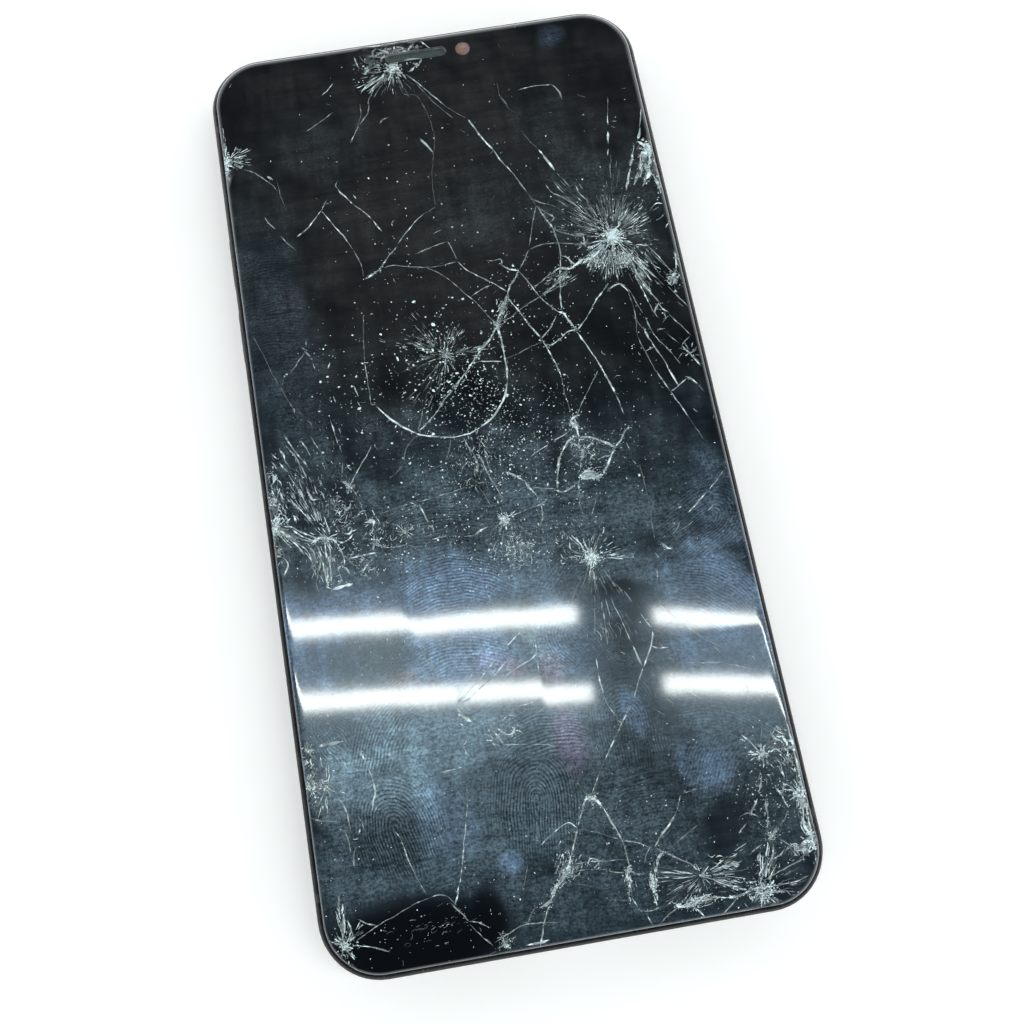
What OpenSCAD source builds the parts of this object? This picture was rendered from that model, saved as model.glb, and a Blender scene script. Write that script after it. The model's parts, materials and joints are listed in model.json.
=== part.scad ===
// A smashed handheld phone lying on its back: cracked front glass over a display, a metal
// band with its inner plate, a plain rear cover, and the working parts between them.
// Millimetres. The origin is the centre of the rear cover's outer face. +X is to the right
// seen from the front, +Y points to the earpiece end, +Z comes out through the glass.

/* [Body] */
// Width of the metal band
body_w = 77.4; // [76.8:0.2:78]
// Length of the metal band
body_l = 158.2; // [157.6:0.2:158.8]
// Radius of the band's corners, seen from the front
corner_r = 9.5; // [9:0.1:10]
// Thickness of the band's wall
wall = 2.0; // [1.8:0.1:2.2]
// Rounding of the band's two long edges
edge_r = 1.0; // [0.6:0.1:1.2]
// Height of the band's lower edge above the surface that the phone rests on
band_z = 0.5; // [0.4:0.05:0.6]
// Height of the band's upper edge
band_top = 7.35; // [7.3:0.05:7.5]

/* [Front glass] */
// Thickness of the front glass
glass_t = 0.8; // [0.7:0.05:0.8]
// Height of the front glass's outer face
glass_top = 8.0; // [8:0.05:8.2]
// How far the glass stands inside the band's outline
glass_inset = 1.0; // [0.95:0.05:1.2]
// Rounding of the glass's front edge
glass_edge = 0.5; // [0.3:0.05:0.6]
// Width of a fracture groove
crack_w = 0.16; // [0.1:0.02:0.24]
// Depth of a fracture groove
crack_d = 0.3; // [0.15:0.05:0.4]
// Radius of the crushed spot at each blow
crater_r = 1.6; // [1:0.1:2]

/* [Earpiece and front camera] */
// Centre of the earpiece slot
earpiece_at = [-0.8, 74.5];
// Length and width of the earpiece slot
earpiece_size = [10.8, 1.5];
// Centre of the front camera
camera_at = [7.8, 74.3];
// Radius of the copper-coloured ring round the front lens
camera_r = 1.3; // [1.1:0.1:1.4]

/* [Buttons and tray] */
// How far the side buttons stand out of the band
button_proud = 0.4; // [0.3:0.05:0.5]
// Height of the side buttons
button_h = 2.2; // [1.8:0.1:2.4]
// Travel of the side buttons
button_travel = 0.25; // [0.2:0.01:0.3]
// Length of the power button
power_len = 11; // [9:0.5:12]
// Length of each volume button
volume_len = 10; // [8:0.5:11]
// Place of the power button along the right side
power_y = 26; // [24:0.5:28]
// Places of the two volume buttons along the left side
volume_y = [41, 27];
// Place of the card tray along the right side
tray_y = -38; // [-39:0.5:-37]

/* [Battery] */
// Size of the battery pack
battery_size = [44, 92, 3.4];
// Centre of the battery pack
battery_at = [-12.5, 0];

/* [Rear camera] */
// Centre of the rear camera window
rear_cam_at = [25, 62];
// Width and length of the metal ring round the rear camera window
rear_ring = [13, 28];

/* [Hidden] */
$fn = 48;
eps = 0.01;
fit = 0.1;                      // clearance between parts that drop into each other
plate_rim = 3;                  // width of the frame that a rounded plate is built from
cover_t = 0.8;                  // rear cover
cover_inset = 1.3;              // rear cover to band outline
seal_t = 0.2;                   // rear adhesive
cavity_z = cover_t + seal_t;    // lower face of the inner space
plate_z = 4.8;                  // inner plate's lower face
plate_t = 0.5;
ledge_z = 6.3;                  // ledge that the display unit sits on
bezel_z = 6.4;
glass_z = glass_top - glass_t;
inner_w = body_w - 2 * wall;
inner_l = body_l - 2 * wall;
inner_r = corner_r - wall;
front_gap = 0.9;                // band outline to the recess of the display unit
mid_z = 3.6;                    // height of the buttons, tray and port
flange_t = 0.4;
flange_gap = 0.1;               // flange to the band's inner wall
tray_size = [22.7, 14.6, 1.2];
tray_face = [1.1, 16.2, 2.0];
tray_slot = [14.8, 1.4];
port_outer = [9.0, 3.2];
port_wall = 0.3;
port_len = 7.4;
top_room = inner_l / 2 - 0.6;   // how far the inner parts reach towards the band's ends
board_z = 3.6;
board_t = 0.8;
connector_z = 2.7;
flex_t = 0.2;
pad_z = connector_z - flex_t;   // flat leads run under the connectors
panel_size = [69.4, 147];
panel_y = -2;
antenna_y = 66;
antenna_w = 1.2;
screw_x = 7.2;
grille_x = [14, 17, 20, 23, 26];
grille_r = 0.7;
board_screw_at = [[13.6, 43], [32.6, 43], [13.6, -25.5], [32.6, -25.5], [-32, 53], [-32, 71]];

sensor_at = [-12, 75.3];
// The fractures below were set out on the band's outline, a little under the glass: on the
// glass itself they draw in slightly.
mark_scale = 0.99;
mark_shift = [-0.15, -0.45];
function on_glass(p) = mark_scale * p + mark_shift;

// Fracture lines of the front glass, each from its start to its end.
cracks = [
  [[-3, 72], [0.5, 67.5], [6.5, 61], [10.7, 52.5], [14.5, 44.5], [15.5, 42]],
  [[13, 66.5], [14, 62.5], [18.5, 52], [20, 48], [25, 40.5], [27.5, 34]],
  [[-6, 73], [-10.5, 68], [-13.5, 62.5], [-16.3, 57], [-18.5, 52.5]],
  [[-18.5, 52.5], [-18.7, 51], [-14.5, 45.5], [-12, 41.5]],
  [[-37, 59.5], [-31.5, 55.5], [-28.5, 49.5], [-27, 43], [-21.8, 47.5], [-20.5, 49.5]],
  [[-22, 47.5], [-18, 40.5], [-16.5, 33.5]],
  [[-32, 47.8], [-27.4, 40.6]],
  [[-2, 67], [0, 58], [-2, 45], [0, 34], [5.5, 28.5], [7.7, 26.5]],
  [[-2, 44.8], [-7.5, 41], [-11.5, 36.5], [-16.3, 33]],
  [[-12.7, 34.7], [-8, 34], [0, 33.7]],
  [[-5.5, 33.5], [0, 28], [4.6, 21]],
  [[5, 33], [10, 30.2], [13, 24.5], [16.5, 21], [18, 17.3], [21, 9.5], [22.8, 2]],
  [[7.5, 25.5], [11.5, 17.5], [13.8, 10]],
  [[15.5, 42], [12.3, 33.5], [10.3, 30.2], [7.5, 26], [4.6, 21]],
  [[15.5, 42], [17.8, 36.5], [18, 33], [17, 27.5], [16.2, 21.5]],
  [[4.8, 21.3], [13, 25], [20.5, 28.5], [27.5, 34]],
  [[4.6, 21], [0, 15.5], [-6, 9.5], [-12, 4], [-15, -0.5]],
  [[18, 17.5], [23, 23], [25, 25], [27, 25]],
  [[18, 17.8], [13.5, 15.8], [8, 15]],
  [[28, 25], [28.3, 15], [30.5, 6.5], [34, -2.5]],
  [[29.2, 16.5], [31.2, 10.5], [32.8, 5]],
  [[15, 2.8], [20.2, 10]],
  [[14.5, 2.5], [13.5, -0.5], [10.3, -5.5], [9.5, -9.5], [12.2, -9.2], [13.5, -7.8]],
  [[14, -1], [16.5, -1.5], [20.2, -3.8], [23.2, -0.8]],
  [[20.2, -4], [17.5, -8], [13.5, -8]],
  [[-4.4, 2], [-2, -3.5], [0.5, -12]],
  [[1.3, -5], [4.5, -7], [6, -10], [6.5, -12]],
  [[-20, 3], [-24, -3], [-22, -9.5], [-21.5, -12]],
  [[-20.5, -8.8], [-14.5, -7.7], [-1.5, -6]],
  [[37, -10.6], [32, -15], [27, -19.5]],
  [[-17.5, -30], [-15, -37], [-14.2, -39.7]],
  [[-14.2, -39.7], [-4, -36], [1, -31.5]],
  [[1.3, -32], [0.8, -43]],
  [[10.2, -38], [10.2, -43], [12, -48]],
  [[18.5, -32], [20, -34.5], [15, -44.5], [5.5, -58], [2.4, -62.5], [0, -68], [-6.2, -77.5]],
  [[15.3, -32], [17.2, -40]],
  [[21.7, -30.5], [28, -37.5], [31.5, -40]],
  [[5.2, -58], [8.7, -66], [9, -69.5], [8.3, -73]],
  [[-4, -64.2], [1.2, -61.5], [8.7, -65.5], [14, -67.5], [19.5, -72]],
  [[18.7, -60.5], [15.5, -65.5], [12.5, -71], [12, -75]],
  [[-28.5, -45.5], [-27.3, -52.5], [-28, -54.8]],
  [[-25, -58.7], [-23, -66], [-21.9, -68.3]],
  [[-13.2, -53.5], [-15.5, -64], [-17.9, -70.3], [-13, -76.5]],
  [[-34, -73.2], [-26, -70], [-20, -68.5], [-17.9, -70.3]],
  [[12, -75.5], [18, -76], [26.5, -75.5], [34, -75.5]],
  [[32.5, -56.5], [30, -64], [31, -69], [27.5, -75]]
];
// The curved fracture is a stretch of a circle: centre, radius, first and last angle.
ring_at = [-6.4, 13.8];
ring_r = 11.5;
ring_from = 198;
ring_to = 400;
ring_steps = 16;
ring_crack = [for (i = [0 : ring_steps])
  ring_at + ring_r * [cos(ring_from + (ring_to - ring_from) * i / ring_steps),
                      sin(ring_from + (ring_to - ring_from) * i / ring_steps)]];
// Where the blows landed.
blows = [[-5.3, 73.6], [27.5, 33.8], [-4.7, 17], [-29.5, -11], [0, -13], [12.8, -21.6],
         [-12.8, -41], [-34.5, -50], [32.5, -56.5], [19.6, -72.2], [-35, -73.5]];
// Where the glass has chipped away at its edge: a point on the edge and the chip's length.
chips = [[-1, 60, 4.5], [-1, -8, 4], [-1, -49, 3.5], [1, 47, 5], [1, -65, 5]];

// ---- shared shapes ----

// Rounded rectangle.
module outline(w, l, r) {
  square([w - 2 * r, l], center = true);
  square([w, l - 2 * r], center = true);
  for (x = [-1, 1], y = [-1, 1])
    translate([x * (w / 2 - r), y * (l / 2 - r)]) circle(r);
}

module slab(w, l, r, h) {
  linear_extrude(h) outline(w, l, r);
}

module ring(w, l, r, inner_w, inner_l, inner_r, h) {
  linear_extrude(h) difference() {
    outline(w, l, r);
    outline(inner_w, inner_l, inner_r);
  }
}

// Stadium: a slot's shape, long along Y.
module stadium(w, l) {
  square([w, l - w], center = true);
  for (y = [-1, 1]) translate([0, y * (l - w) / 2]) circle(w / 2);
}

// Box by its low corner and its high corner.
module block(low, high) {
  translate(low) cube(high - low);
}

// Carries a section round a rounded rectangle. The section's x = 0 is the outline, x < 0 is
// inside it, and its y is the height.
module around(w, l, r) {
  for (turn = [0, 1]) {
    long = turn == 0 ? l : w;
    wide = turn == 0 ? w : l;
    for (half = [0, 180])
      rotate([0, 0, half + 90 * turn])
        translate([wide / 2, long / 2 - r, 0])
          rotate([90, 0, 0]) linear_extrude(long - 2 * r) children();
  }
  for (q = [0 : 3]) {
    cx = (q == 0 || q == 3 ? 1 : -1) * (w / 2 - r);
    cy = (q < 2 ? 1 : -1) * (l / 2 - r);
    translate([cx, cy, 0]) rotate([0, 0, 90 * q])
      rotate_extrude(angle = 90) translate([r, 0]) children();
  }
}

// Section of a wall with both outer edges rounded.
module wall_section(t, h, r) {
  translate([-t, 0]) square([t - r, h]);
  translate([-r, r]) square([r, h - 2 * r]);
  intersection() {
    translate([-t, 0]) square([t, h]);
    union() for (z = [r, h - r]) translate([-r, z]) circle(r);
  }
}

// Section of a plate with its upper outer edge rounded.
module plate_section(t, h, r) {
  translate([-t, 0]) square([t - r, h]);
  translate([-r, 0]) square([r, h - r]);
  intersection() {
    translate([-r, h - r]) square([r, r]);
    translate([-r, h - r]) circle(r);
  }
}

// Plate with a rounded upper edge: a frame of that section round a plain slab.
module soft_plate(w, l, r, h, edge) {
  around(w, l, r) plate_section(plate_rim, h, edge);
  slab(w - 2 * plate_rim, l - 2 * plate_rim, r - plate_rim, h);
}

// Cylinder along X or Y through a point.
module rod_x(r, x0, x1) {
  translate([x0, 0, 0]) rotate([0, 90, 0]) cylinder(r = r, h = x1 - x0);
}

module rod_y(r, y0, y1) {
  translate([0, y1, 0]) rotate([90, 0, 0]) cylinder(r = r, h = y1 - y0);
}

// Flat pill standing in the YZ plane, from x0 to x1.
module pill_x(l, h, x0, x1) {
  translate([x0, 0, 0]) rotate([90, 0, 90]) linear_extrude(x1 - x0) rotate(90) stadium(h, l);
}

// Flat pill standing in the XZ plane, from y0 to y1.
module pill_y(l, h, y0, y1) {
  translate([0, y1, 0]) rotate([90, 0, 0]) linear_extrude(y1 - y0) rotate(90) stadium(h, l);
}

// ---- front ----

// One fracture: a straight groove along each stretch of its path.
module groove(path) {
  for (i = [0 : len(path) - 2]) {
    run = path[i + 1] - path[i];
    translate([path[i].x, path[i].y, glass_top - crack_d])
      rotate([0, 0, atan2(run.y, run.x)])
        translate([-crack_w / 2, -crack_w / 2, 0])
          cube([norm(run) + crack_w, crack_w, glass_t]);
  }
}

// Broken edge: a shallow three-cornered bite at the glass's side.
module chip(side, y, long) {
  x = side * (body_w / 2 - glass_inset);
  translate([0, 0, glass_top - crack_d])
    linear_extrude(glass_t)
      polygon([[x + side, y - long], [x - side * 0.2, y - long], [x - side * 1.1, y - long / 5],
               [x - side * 0.7, y + long / 4], [x - side * 0.3, y + long], [x + side, y + long]]);
}

module cover_glass() {
  color([0.05, 0.07, 0.08]) difference() {
    translate([0, 0, glass_z])
      soft_plate(body_w - 2 * glass_inset, body_l - 2 * glass_inset, corner_r - glass_inset,
                 glass_t, glass_edge);
    for (path = cracks) groove([for (p = path) on_glass(p)]);
    groove(ring_crack);
    for (blow = blows)
      translate([on_glass(blow).x, on_glass(blow).y, glass_top - crack_d])
        cylinder(r1 = crater_r / 3, r2 = crater_r, h = crack_d + eps);
    for (c = chips) chip(c[0], on_glass([0, c[1]]).y, c[2]);
    translate([earpiece_at.x, earpiece_at.y, glass_z - eps])
      linear_extrude(glass_t + 1) rotate(90) stadium(earpiece_size.y, earpiece_size.x);
  }
}

module display_bezel() {
  color([0.04, 0.04, 0.04]) difference() {
    translate([0, 0, bezel_z])
      slab(body_w - 2 * glass_inset, body_l - 2 * glass_inset, corner_r - glass_inset,
           glass_z - bezel_z - 0.05);
    translate([0, panel_y, bezel_z - 1])
      slab(panel_size.x + 0.6, panel_size.y + 0.6, 6.3, 3);
    translate([earpiece_at.x, earpiece_at.y, bezel_z - 1])
      linear_extrude(3) square([earpiece_size.x + 0.6, 2.4], center = true);
    translate([camera_at.x, camera_at.y, bezel_z - 1]) cylinder(r = camera_r + 0.4, h = 3);
    translate([sensor_at.x, sensor_at.y, bezel_z - 1]) cylinder(r = 1.5, h = 3);
  }
}

module display_panel() {
  color([0.02, 0.03, 0.04]) translate([0, panel_y, 5.8])
    slab(panel_size.x, panel_size.y, 6, glass_z - 5.8 - 0.02);
}

module display_backplate() {
  color([0.55, 0.56, 0.58]) translate([0, panel_y, 5.5])
    slab(panel_size.x - 0.6, panel_size.y - 0.6, 5.8, 0.28);
}

module front_seal() {
  color([0.1, 0.1, 0.1]) translate([0, 0, ledge_z])
    ring(body_w - 2.4, body_l - 2.4, corner_r - 1.2, body_w - 3.6, body_l - 3.6,
         corner_r - 1.8, bezel_z - ledge_z);
}

// Flat lead from the back of the display, through the plate and under a board connector.
module display_lead(y, w) {
  block([10.4, y, pad_z], [19.4, y + w, pad_z + flex_t]);
  block([10.4, y, pad_z], [10.6, y + w, 5.48]);
  block([10.4, y, 5.34], [28, y + w, 5.48]);
}

module display_flex() {
  color([0.75, 0.45, 0.15]) display_lead(2, 5);
}

module touch_flex() {
  color([0.75, 0.45, 0.15]) display_lead(-8, 4);
}

module earpiece_mesh() {
  color([0.35, 0.37, 0.38]) translate([earpiece_at.x, earpiece_at.y, 7.25])
    linear_extrude(0.35) rotate(90) stadium(earpiece_size.y - 0.1, earpiece_size.x - 0.1);
}

module earpiece_speaker() {
  color([0.12, 0.12, 0.13]) {
    block([-6.6, 72.4, 2.6], [5.0, top_room, 6.2]);
    block([-4.7, 73.6, 6.2], [3.1, 75.4, 7.15]);
  }
}

module front_camera() {
  color([0.1, 0.1, 0.1]) block([5.5, 72.0, 2.2], [10.5, top_room, 5.8]);
  color([0.72, 0.45, 0.38]) translate([camera_at.x, camera_at.y, 5.8])
    difference() {
      cylinder(r = camera_r, h = 1.3);
      translate([0, 0, 1.0]) cylinder(r = 0.55, h = 1);
    }
}

module proximity_sensor() {
  color([0.2, 0.2, 0.25]) {
    block([-13.8, 73.6, 4.2], [-10.2, top_room, 5.9]);
    translate([sensor_at.x, sensor_at.y, 5.9]) cylinder(r = 1.2, h = 1.1);
  }
}

// ---- frame and rear ----

module band() {
  translate([0, 0, band_z])
    around(body_w, body_l, corner_r) wall_section(wall, band_top - band_z, edge_r);
}

// The places where the band is split by plastic.
module antenna_cuts() {
  for (x = [-1, 1], y = [-1, 1])
    translate([x * (body_w / 2 - wall / 2 + 0.25), y * antenna_y, 4])
      cube([wall + 0.5, antenna_w, 12], center = true);
}

// Openings for the side buttons: a pill through the wall, and room for the flange in the plate.
module button_slot(side, y, long) {
  translate([0, y, mid_z]) scale_side(side)
    pill_x(long + 2 * 0.08, button_h + 2 * 0.08, inner_w / 2 - 1, body_w / 2 + 1);
}

// Turns what is made for the right side to the left side.
module scale_side(side) {
  rotate([0, 0, side > 0 ? 0 : 180]) children();
}

module grille_holes() {
  for (side = [-1, 1], x = grille_x)
    translate([side * x, 0, mid_z]) rod_y(grille_r, -body_l / 2 - 1, -inner_l / 2 + 1);
}

module mid_frame() {
  color([0.13, 0.14, 0.15]) difference() {
    union() {
      band();
      translate([0, 0, plate_z]) slab(inner_w + eps, inner_l + eps, inner_r, plate_t);
      for (p = board_screw_at) translate([p.x, p.y, 4.4]) cylinder(r = 1.6, h = 0.5);
    }
    antenna_cuts();
    // recess of the display unit
    translate([0, 0, ledge_z])
      slab(body_w - 2 * front_gap, body_l - 2 * front_gap, corner_r - front_gap, 3);
    // recess of the rear cover
    translate([0, 0, band_z - 1])
      slab(body_w - 2 * cover_inset + 2 * fit, body_l - 2 * cover_inset + 2 * fit,
           corner_r - cover_inset + fit, cavity_z - band_z + 1);
    // side buttons and card tray
    button_slot(1, power_y, power_len);
    for (y = volume_y) button_slot(-1, y, volume_len);
    translate([0, tray_y, mid_z]) {
      pill_x(tray_face.y + 0.2, tray_face.z + 0.2, body_w / 2 - tray_face.x - 0.05,
             body_w / 2 + 1);
      block([inner_w / 2 - 1, -tray_slot.x / 2, -tray_slot.y / 2],
            [body_w / 2, tray_slot.x / 2, tray_slot.y / 2]);
    }
    // charge port, case screws and grilles in the lower end
    translate([0, 0, mid_z])
      pill_y(port_outer.x + 0.1, port_outer.y + 0.1, -body_l / 2 - 1, -inner_l / 2 + 6);
    for (x = [-screw_x, screw_x]) translate([x, 0, mid_z]) {
      rod_y(0.72, -body_l / 2 - 1, -inner_l / 2 + 1);
      rod_y(1.05, -body_l / 2 - 1, -body_l / 2 + 0.7);
    }
    grille_holes();
    // openings in the plate: ear speaker, front camera, sensor, charge port, display leads
    block([-7.2, 71.9, plate_z - 1], [11, top_room + fit, plate_z + 1]);
    block([-14.2, 73.2, plate_z - 1], [-9.8, top_room + fit, plate_z + 1]);
    block([-4.8, -top_room, plate_z - 1], [4.8, -71.2, plate_z + 1]);
    block([10, -8.5, plate_z - 1], [11, -3.5, plate_z + 1]);
    block([10, 1.5, plate_z - 1], [11, 7.5, plate_z + 1]);
    for (p = board_screw_at) translate([p.x, p.y, 4.3]) cylinder(r = 0.75, h = 2);
  }
}

module antenna_lines() {
  color([0.2, 0.2, 0.21]) difference() {
    intersection() {
      band();
      antenna_cuts();
    }
    translate([0, 0, ledge_z])
      slab(body_w - 2 * front_gap, body_l - 2 * front_gap, corner_r - front_gap, 3);
    translate([0, 0, band_z - 1])
      slab(body_w - 2 * cover_inset + 2 * fit, body_l - 2 * cover_inset + 2 * fit,
           corner_r - cover_inset + fit, cavity_z - band_z + 1);
  }
}

module rear_cover() {
  color([0.06, 0.07, 0.08]) difference() {
    translate([0, 0, cover_t]) rotate([180, 0, 0])
      soft_plate(body_w - 2 * cover_inset, body_l - 2 * cover_inset, corner_r - cover_inset,
                 cover_t, 0.35);
    translate([rear_cam_at.x, rear_cam_at.y, -1])
      linear_extrude(3) stadium(rear_ring.x + fit, rear_ring.y + fit);
    translate([rear_cam_at.x, 43.5, -1]) cylinder(r = 2.5, h = 3);
    translate([19, 47, -1]) cylinder(r = 0.4, h = 3);
  }
}

module rear_seal() {
  color([0.1, 0.1, 0.1]) translate([0, 0, cover_t])
    ring(body_w - 2.8, body_l - 2.8, corner_r - 1.4, body_w - 3.8, body_l - 3.8,
         corner_r - 1.9, seal_t);
}

module camera_ring() {
  color([0.3, 0.31, 0.33]) translate([rear_cam_at.x, rear_cam_at.y, 0]) {
    linear_extrude(1.0) difference() {
      stadium(rear_ring.x, rear_ring.y);
      stadium(rear_ring.x - 2, rear_ring.y - 2);
    }
    translate([0, 0, 1.0]) linear_extrude(0.3) difference() {
      stadium(rear_ring.x, rear_ring.y);
      stadium(rear_ring.x - 3.4, rear_ring.y - 3.4);
    }
  }
}

module camera_window() {
  color([0.02, 0.02, 0.03]) translate([rear_cam_at.x, rear_cam_at.y, 0.15])
    linear_extrude(0.8) stadium(rear_ring.x - 2.1, rear_ring.y - 2.1);
}

// Camera block with its lens barrel facing the rear window.
module rear_camera(y, size, lens_r) {
  translate([rear_cam_at.x, y, 0]) {
    block([-size / 2, -size / 2, 1.5], [size / 2, size / 2, 4.7]);
    difference() {
      translate([0, 0, 1.0]) cylinder(r = lens_r, h = 0.6);
      translate([0, 0, 0.9]) cylinder(r1 = lens_r * 0.6, r2 = lens_r * 0.4, h = 0.4);
    }
  }
}

module main_camera() {
  color([0.08, 0.08, 0.09]) rear_camera(68, 10, 3.9);
}

module wide_camera() {
  color([0.08, 0.08, 0.09]) rear_camera(56, 9.6, 3.4);
}

module flash_lens() {
  color([0.9, 0.88, 0.75]) translate([rear_cam_at.x, 43.5, 0.05]) {
    cylinder(r = 2.4, h = 1.0);
    translate([0, 0, 1.0]) cylinder(r = 3, h = 0.3);
  }
}

module flash_led() {
  color([0.95, 0.85, 0.3]) block([23.5, 42, 1.4], [26.5, 45, 1.9]);
}

// ---- power ----

module battery() {
  color([0.1, 0.1, 0.11]) translate([battery_at.x, battery_at.y, 1.3])
    slab(battery_size.x, battery_size.y, 1.5, battery_size.z);
}

module battery_tape() {
  color([0.9, 0.9, 0.85]) for (x = [-24, -1])
    block([x - 6, -44, 4.72], [x + 6, 44, plate_z]);
}

module battery_flex() {
  color([0.75, 0.45, 0.15]) block([9.6, 26, pad_z], [19.4, 30, pad_z + flex_t]);
}

module coil_shield() {
  color([0.25, 0.25, 0.27]) translate([0, 0, 1.08]) cylinder(r = 23, h = 0.14);
}

module wireless_coil() {
  color([0.72, 0.4, 0.2]) translate([0, 0, 0.84]) difference() {
    cylinder(r = 21, h = 0.22);
    translate([0, 0, -1]) cylinder(r = 10, h = 3);
  }
}

// ---- boards ----

module main_board() {
  color([0.05, 0.22, 0.18]) difference() {
    translate([0, 0, board_z]) linear_extrude(board_t) {
      translate([11.9, -28]) square([22.3, 74]);
      translate([-34.5, 50]) square([53, 21.5]);
      translate([11.9, 44]) square([6.6, 8]);
    }
    for (p = board_screw_at) translate([p.x, p.y, board_z - 1]) cylinder(r = 0.9, h = 3);
  }
}

// Pressed metal cans, open towards the board.
module can(low, high) {
  difference() {
    block(low, high);
    block(low + [0.2, 0.2, 0.2], high + [-0.2, -0.2, 1]);
  }
}

module board_shields() {
  color([0.7, 0.71, 0.72]) {
    can([20.5, -22, 2.0], [34, 8, board_z]);
    can([20.5, 9, 2.0], [34, 35, board_z]);
    can([-29, 52, 2.0], [-9, 70, board_z]);
    can([-7.5, 52, 2.0], [9, 70, board_z]);
  }
}

module board_connectors() {
  color([0.15, 0.15, 0.15]) for (y = [-21.5, -6, 4.5, 28])
    block([13, y - 1.6, connector_z], [19.2, y + 1.6, board_z]);
}

module connector_cover() {
  color([0.6, 0.61, 0.62]) {
    block([12.4, -9.5, 2.1], [19.8, 8.5, 2.3]);
    for (y = [-9.7, 8.3]) block([12.4, y, 2.1], [19.8, y + 0.2, board_z]);
  }
}

module board_screws() {
  color([0.75, 0.75, 0.76]) for (p = board_screw_at) translate([p.x, p.y, 0]) difference() {
    union() {
      translate([0, 0, 3.0]) cylinder(r = 1.3, h = 0.6);
      translate([0, 0, 3.6]) cylinder(r = 0.7, h = 1.5);
    }
    for (a = [0, 90]) rotate(a) translate([0, 0, 3.0]) cube([1.4, 0.35, 0.5], center = true);
  }
}

// Thin coaxial lead from the main board down the right side to the lower end.
module antenna_cable() {
  color([0.1, 0.1, 0.1]) {
    translate([12.8, 0, 1.8]) rod_y(0.4, -50, -26);
    for (y = [-50, -26]) translate([12.8, y, 1.8]) cylinder(r = 1, h = 1.0);
  }
}

// ---- card tray ----

module sim_reader() {
  color([0.72, 0.72, 0.74]) difference() {
    block([14.4, tray_y - 8.4, 2.3], [inner_w / 2 - 0.1, tray_y + 8.4, 4.7]);
    block([14.8, tray_y - 7.6, 2.85], [inner_w / 2 + 1, tray_y + 7.6, 4.35]);
  }
}

// Flat tray with a pocket for the card, and the pill-shaped face that closes the slot.
module sim_tray() {
  color([0.16, 0.17, 0.18]) translate([0, tray_y, mid_z]) difference() {
    union() {
      translate([body_w / 2 - tray_size.x, -tray_size.y / 2, -tray_size.z / 2])
        cube([tray_size.x - 0.5, tray_size.y, tray_size.z]);
      pill_x(tray_face.y, tray_face.z, body_w / 2 - tray_face.x, body_w / 2 - 0.02);
    }
    block([18, -5.2, -0.1], [31.6, 4.4, 2]);
    translate([0, -7.0, 0]) rod_x(0.4, body_w / 2 - 4, body_w / 2 + 1);
  }
}

module sim_card() {
  color([0.85, 0.7, 0.3]) translate([0, tray_y, mid_z])
    block([18.1, -5.1, -0.1], [31.5, 4.3, 0.57]);
}

// ---- lower end ----

module charging_flex() {
  color([0.75, 0.45, 0.15]) {
    block([-8, -71.4, pad_z], [8, -50, pad_z + flex_t]);
    block([8, -54, pad_z], [11.6, -50, pad_z + flex_t]);
    block([9.8, -50, pad_z], [11.6, -23, pad_z + flex_t]);
    block([9.8, -23.2, pad_z], [19.2, -19.8, pad_z + flex_t]);
  }
}

// Reversible socket: a pressed shell with a contact tongue inside.
module charge_port() {
  color([0.5, 0.51, 0.53]) translate([0, 0, mid_z]) difference() {
    pill_y(port_outer.x, port_outer.y, -body_l / 2 + 0.05, -body_l / 2 + port_len);
    pill_y(port_outer.x - 2 * port_wall, port_outer.y - 2 * port_wall, -body_l / 2 - 1,
           -body_l / 2 + port_len - 1);
  }
  color([0.08, 0.08, 0.08]) translate([0, 0, mid_z])
    block([-3.35, -body_l / 2 + 1, -0.35], [3.35, -body_l / 2 + port_len - 0.9, 0.35]);
}

// Two case screws beside the socket, with five-sided drive recesses.
module bottom_screws() {
  color([0.6, 0.6, 0.61]) for (x = [-screw_x, screw_x]) translate([x, 0, mid_z]) difference() {
    union() {
      rod_y(0.68, -body_l / 2 + 0.3, -body_l / 2 + 4.6);
      rod_y(1.0, -body_l / 2 + 0.1, -body_l / 2 + 0.7);
    }
    translate([0, -body_l / 2 + 0.4, 0]) rotate([90, 0, 0]) cylinder(r = 0.5, h = 1, $fn = 5);
  }
}

module speaker_mesh() {
  color([0.3, 0.3, 0.3]) block([-28, -inner_l / 2 + 0.05, 2.5], [-12, -inner_l / 2 + 0.2, 4.7]);
}

module microphone_mesh() {
  color([0.3, 0.3, 0.3]) block([12, -inner_l / 2 + 0.05, 2.5], [28, -inner_l / 2 + 0.2, 4.7]);
}

module bottom_microphone() {
  color([0.75, 0.72, 0.6]) block([12.4, -76.7, 2.9], [15.8, -74, 4.2]);
}

module loudspeaker() {
  color([0.1, 0.1, 0.1]) difference() {
    union() {
      block([-34.5, -72, 1.3], [-9.5, -52, 4.6]);
      block([-28, -76.7, 2.0], [-12, -72, 4.6]);
    }
    block([-26, -78, 2.8], [-14, -74, 4.0]);
  }
}

module vibration_motor() {
  color([0.62, 0.63, 0.65]) translate([0, 0, 1.4]) difference() {
    translate([25, -63]) slab(18, 8, 1, 3);
    translate([25, -63, 0.0]) slab(15, 5.4, 0.6, 0.15);
  }
}

// ---- buttons ----

// Button for the right side: a pill through the band, and a longer flange behind the wall.
module side_button(long) {
  pill_x(long, button_h, inner_w / 2 - 0.12, body_w / 2 + button_proud);
  block([inner_w / 2 - flange_gap - flange_t, -long / 2 - 1, -button_h / 2],
        [inner_w / 2 - flange_gap, long / 2 + 1, button_h / 2]);
}

module power_button() {
  color([0.15, 0.16, 0.17]) translate([0, power_y, mid_z]) side_button(power_len);
}

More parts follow.
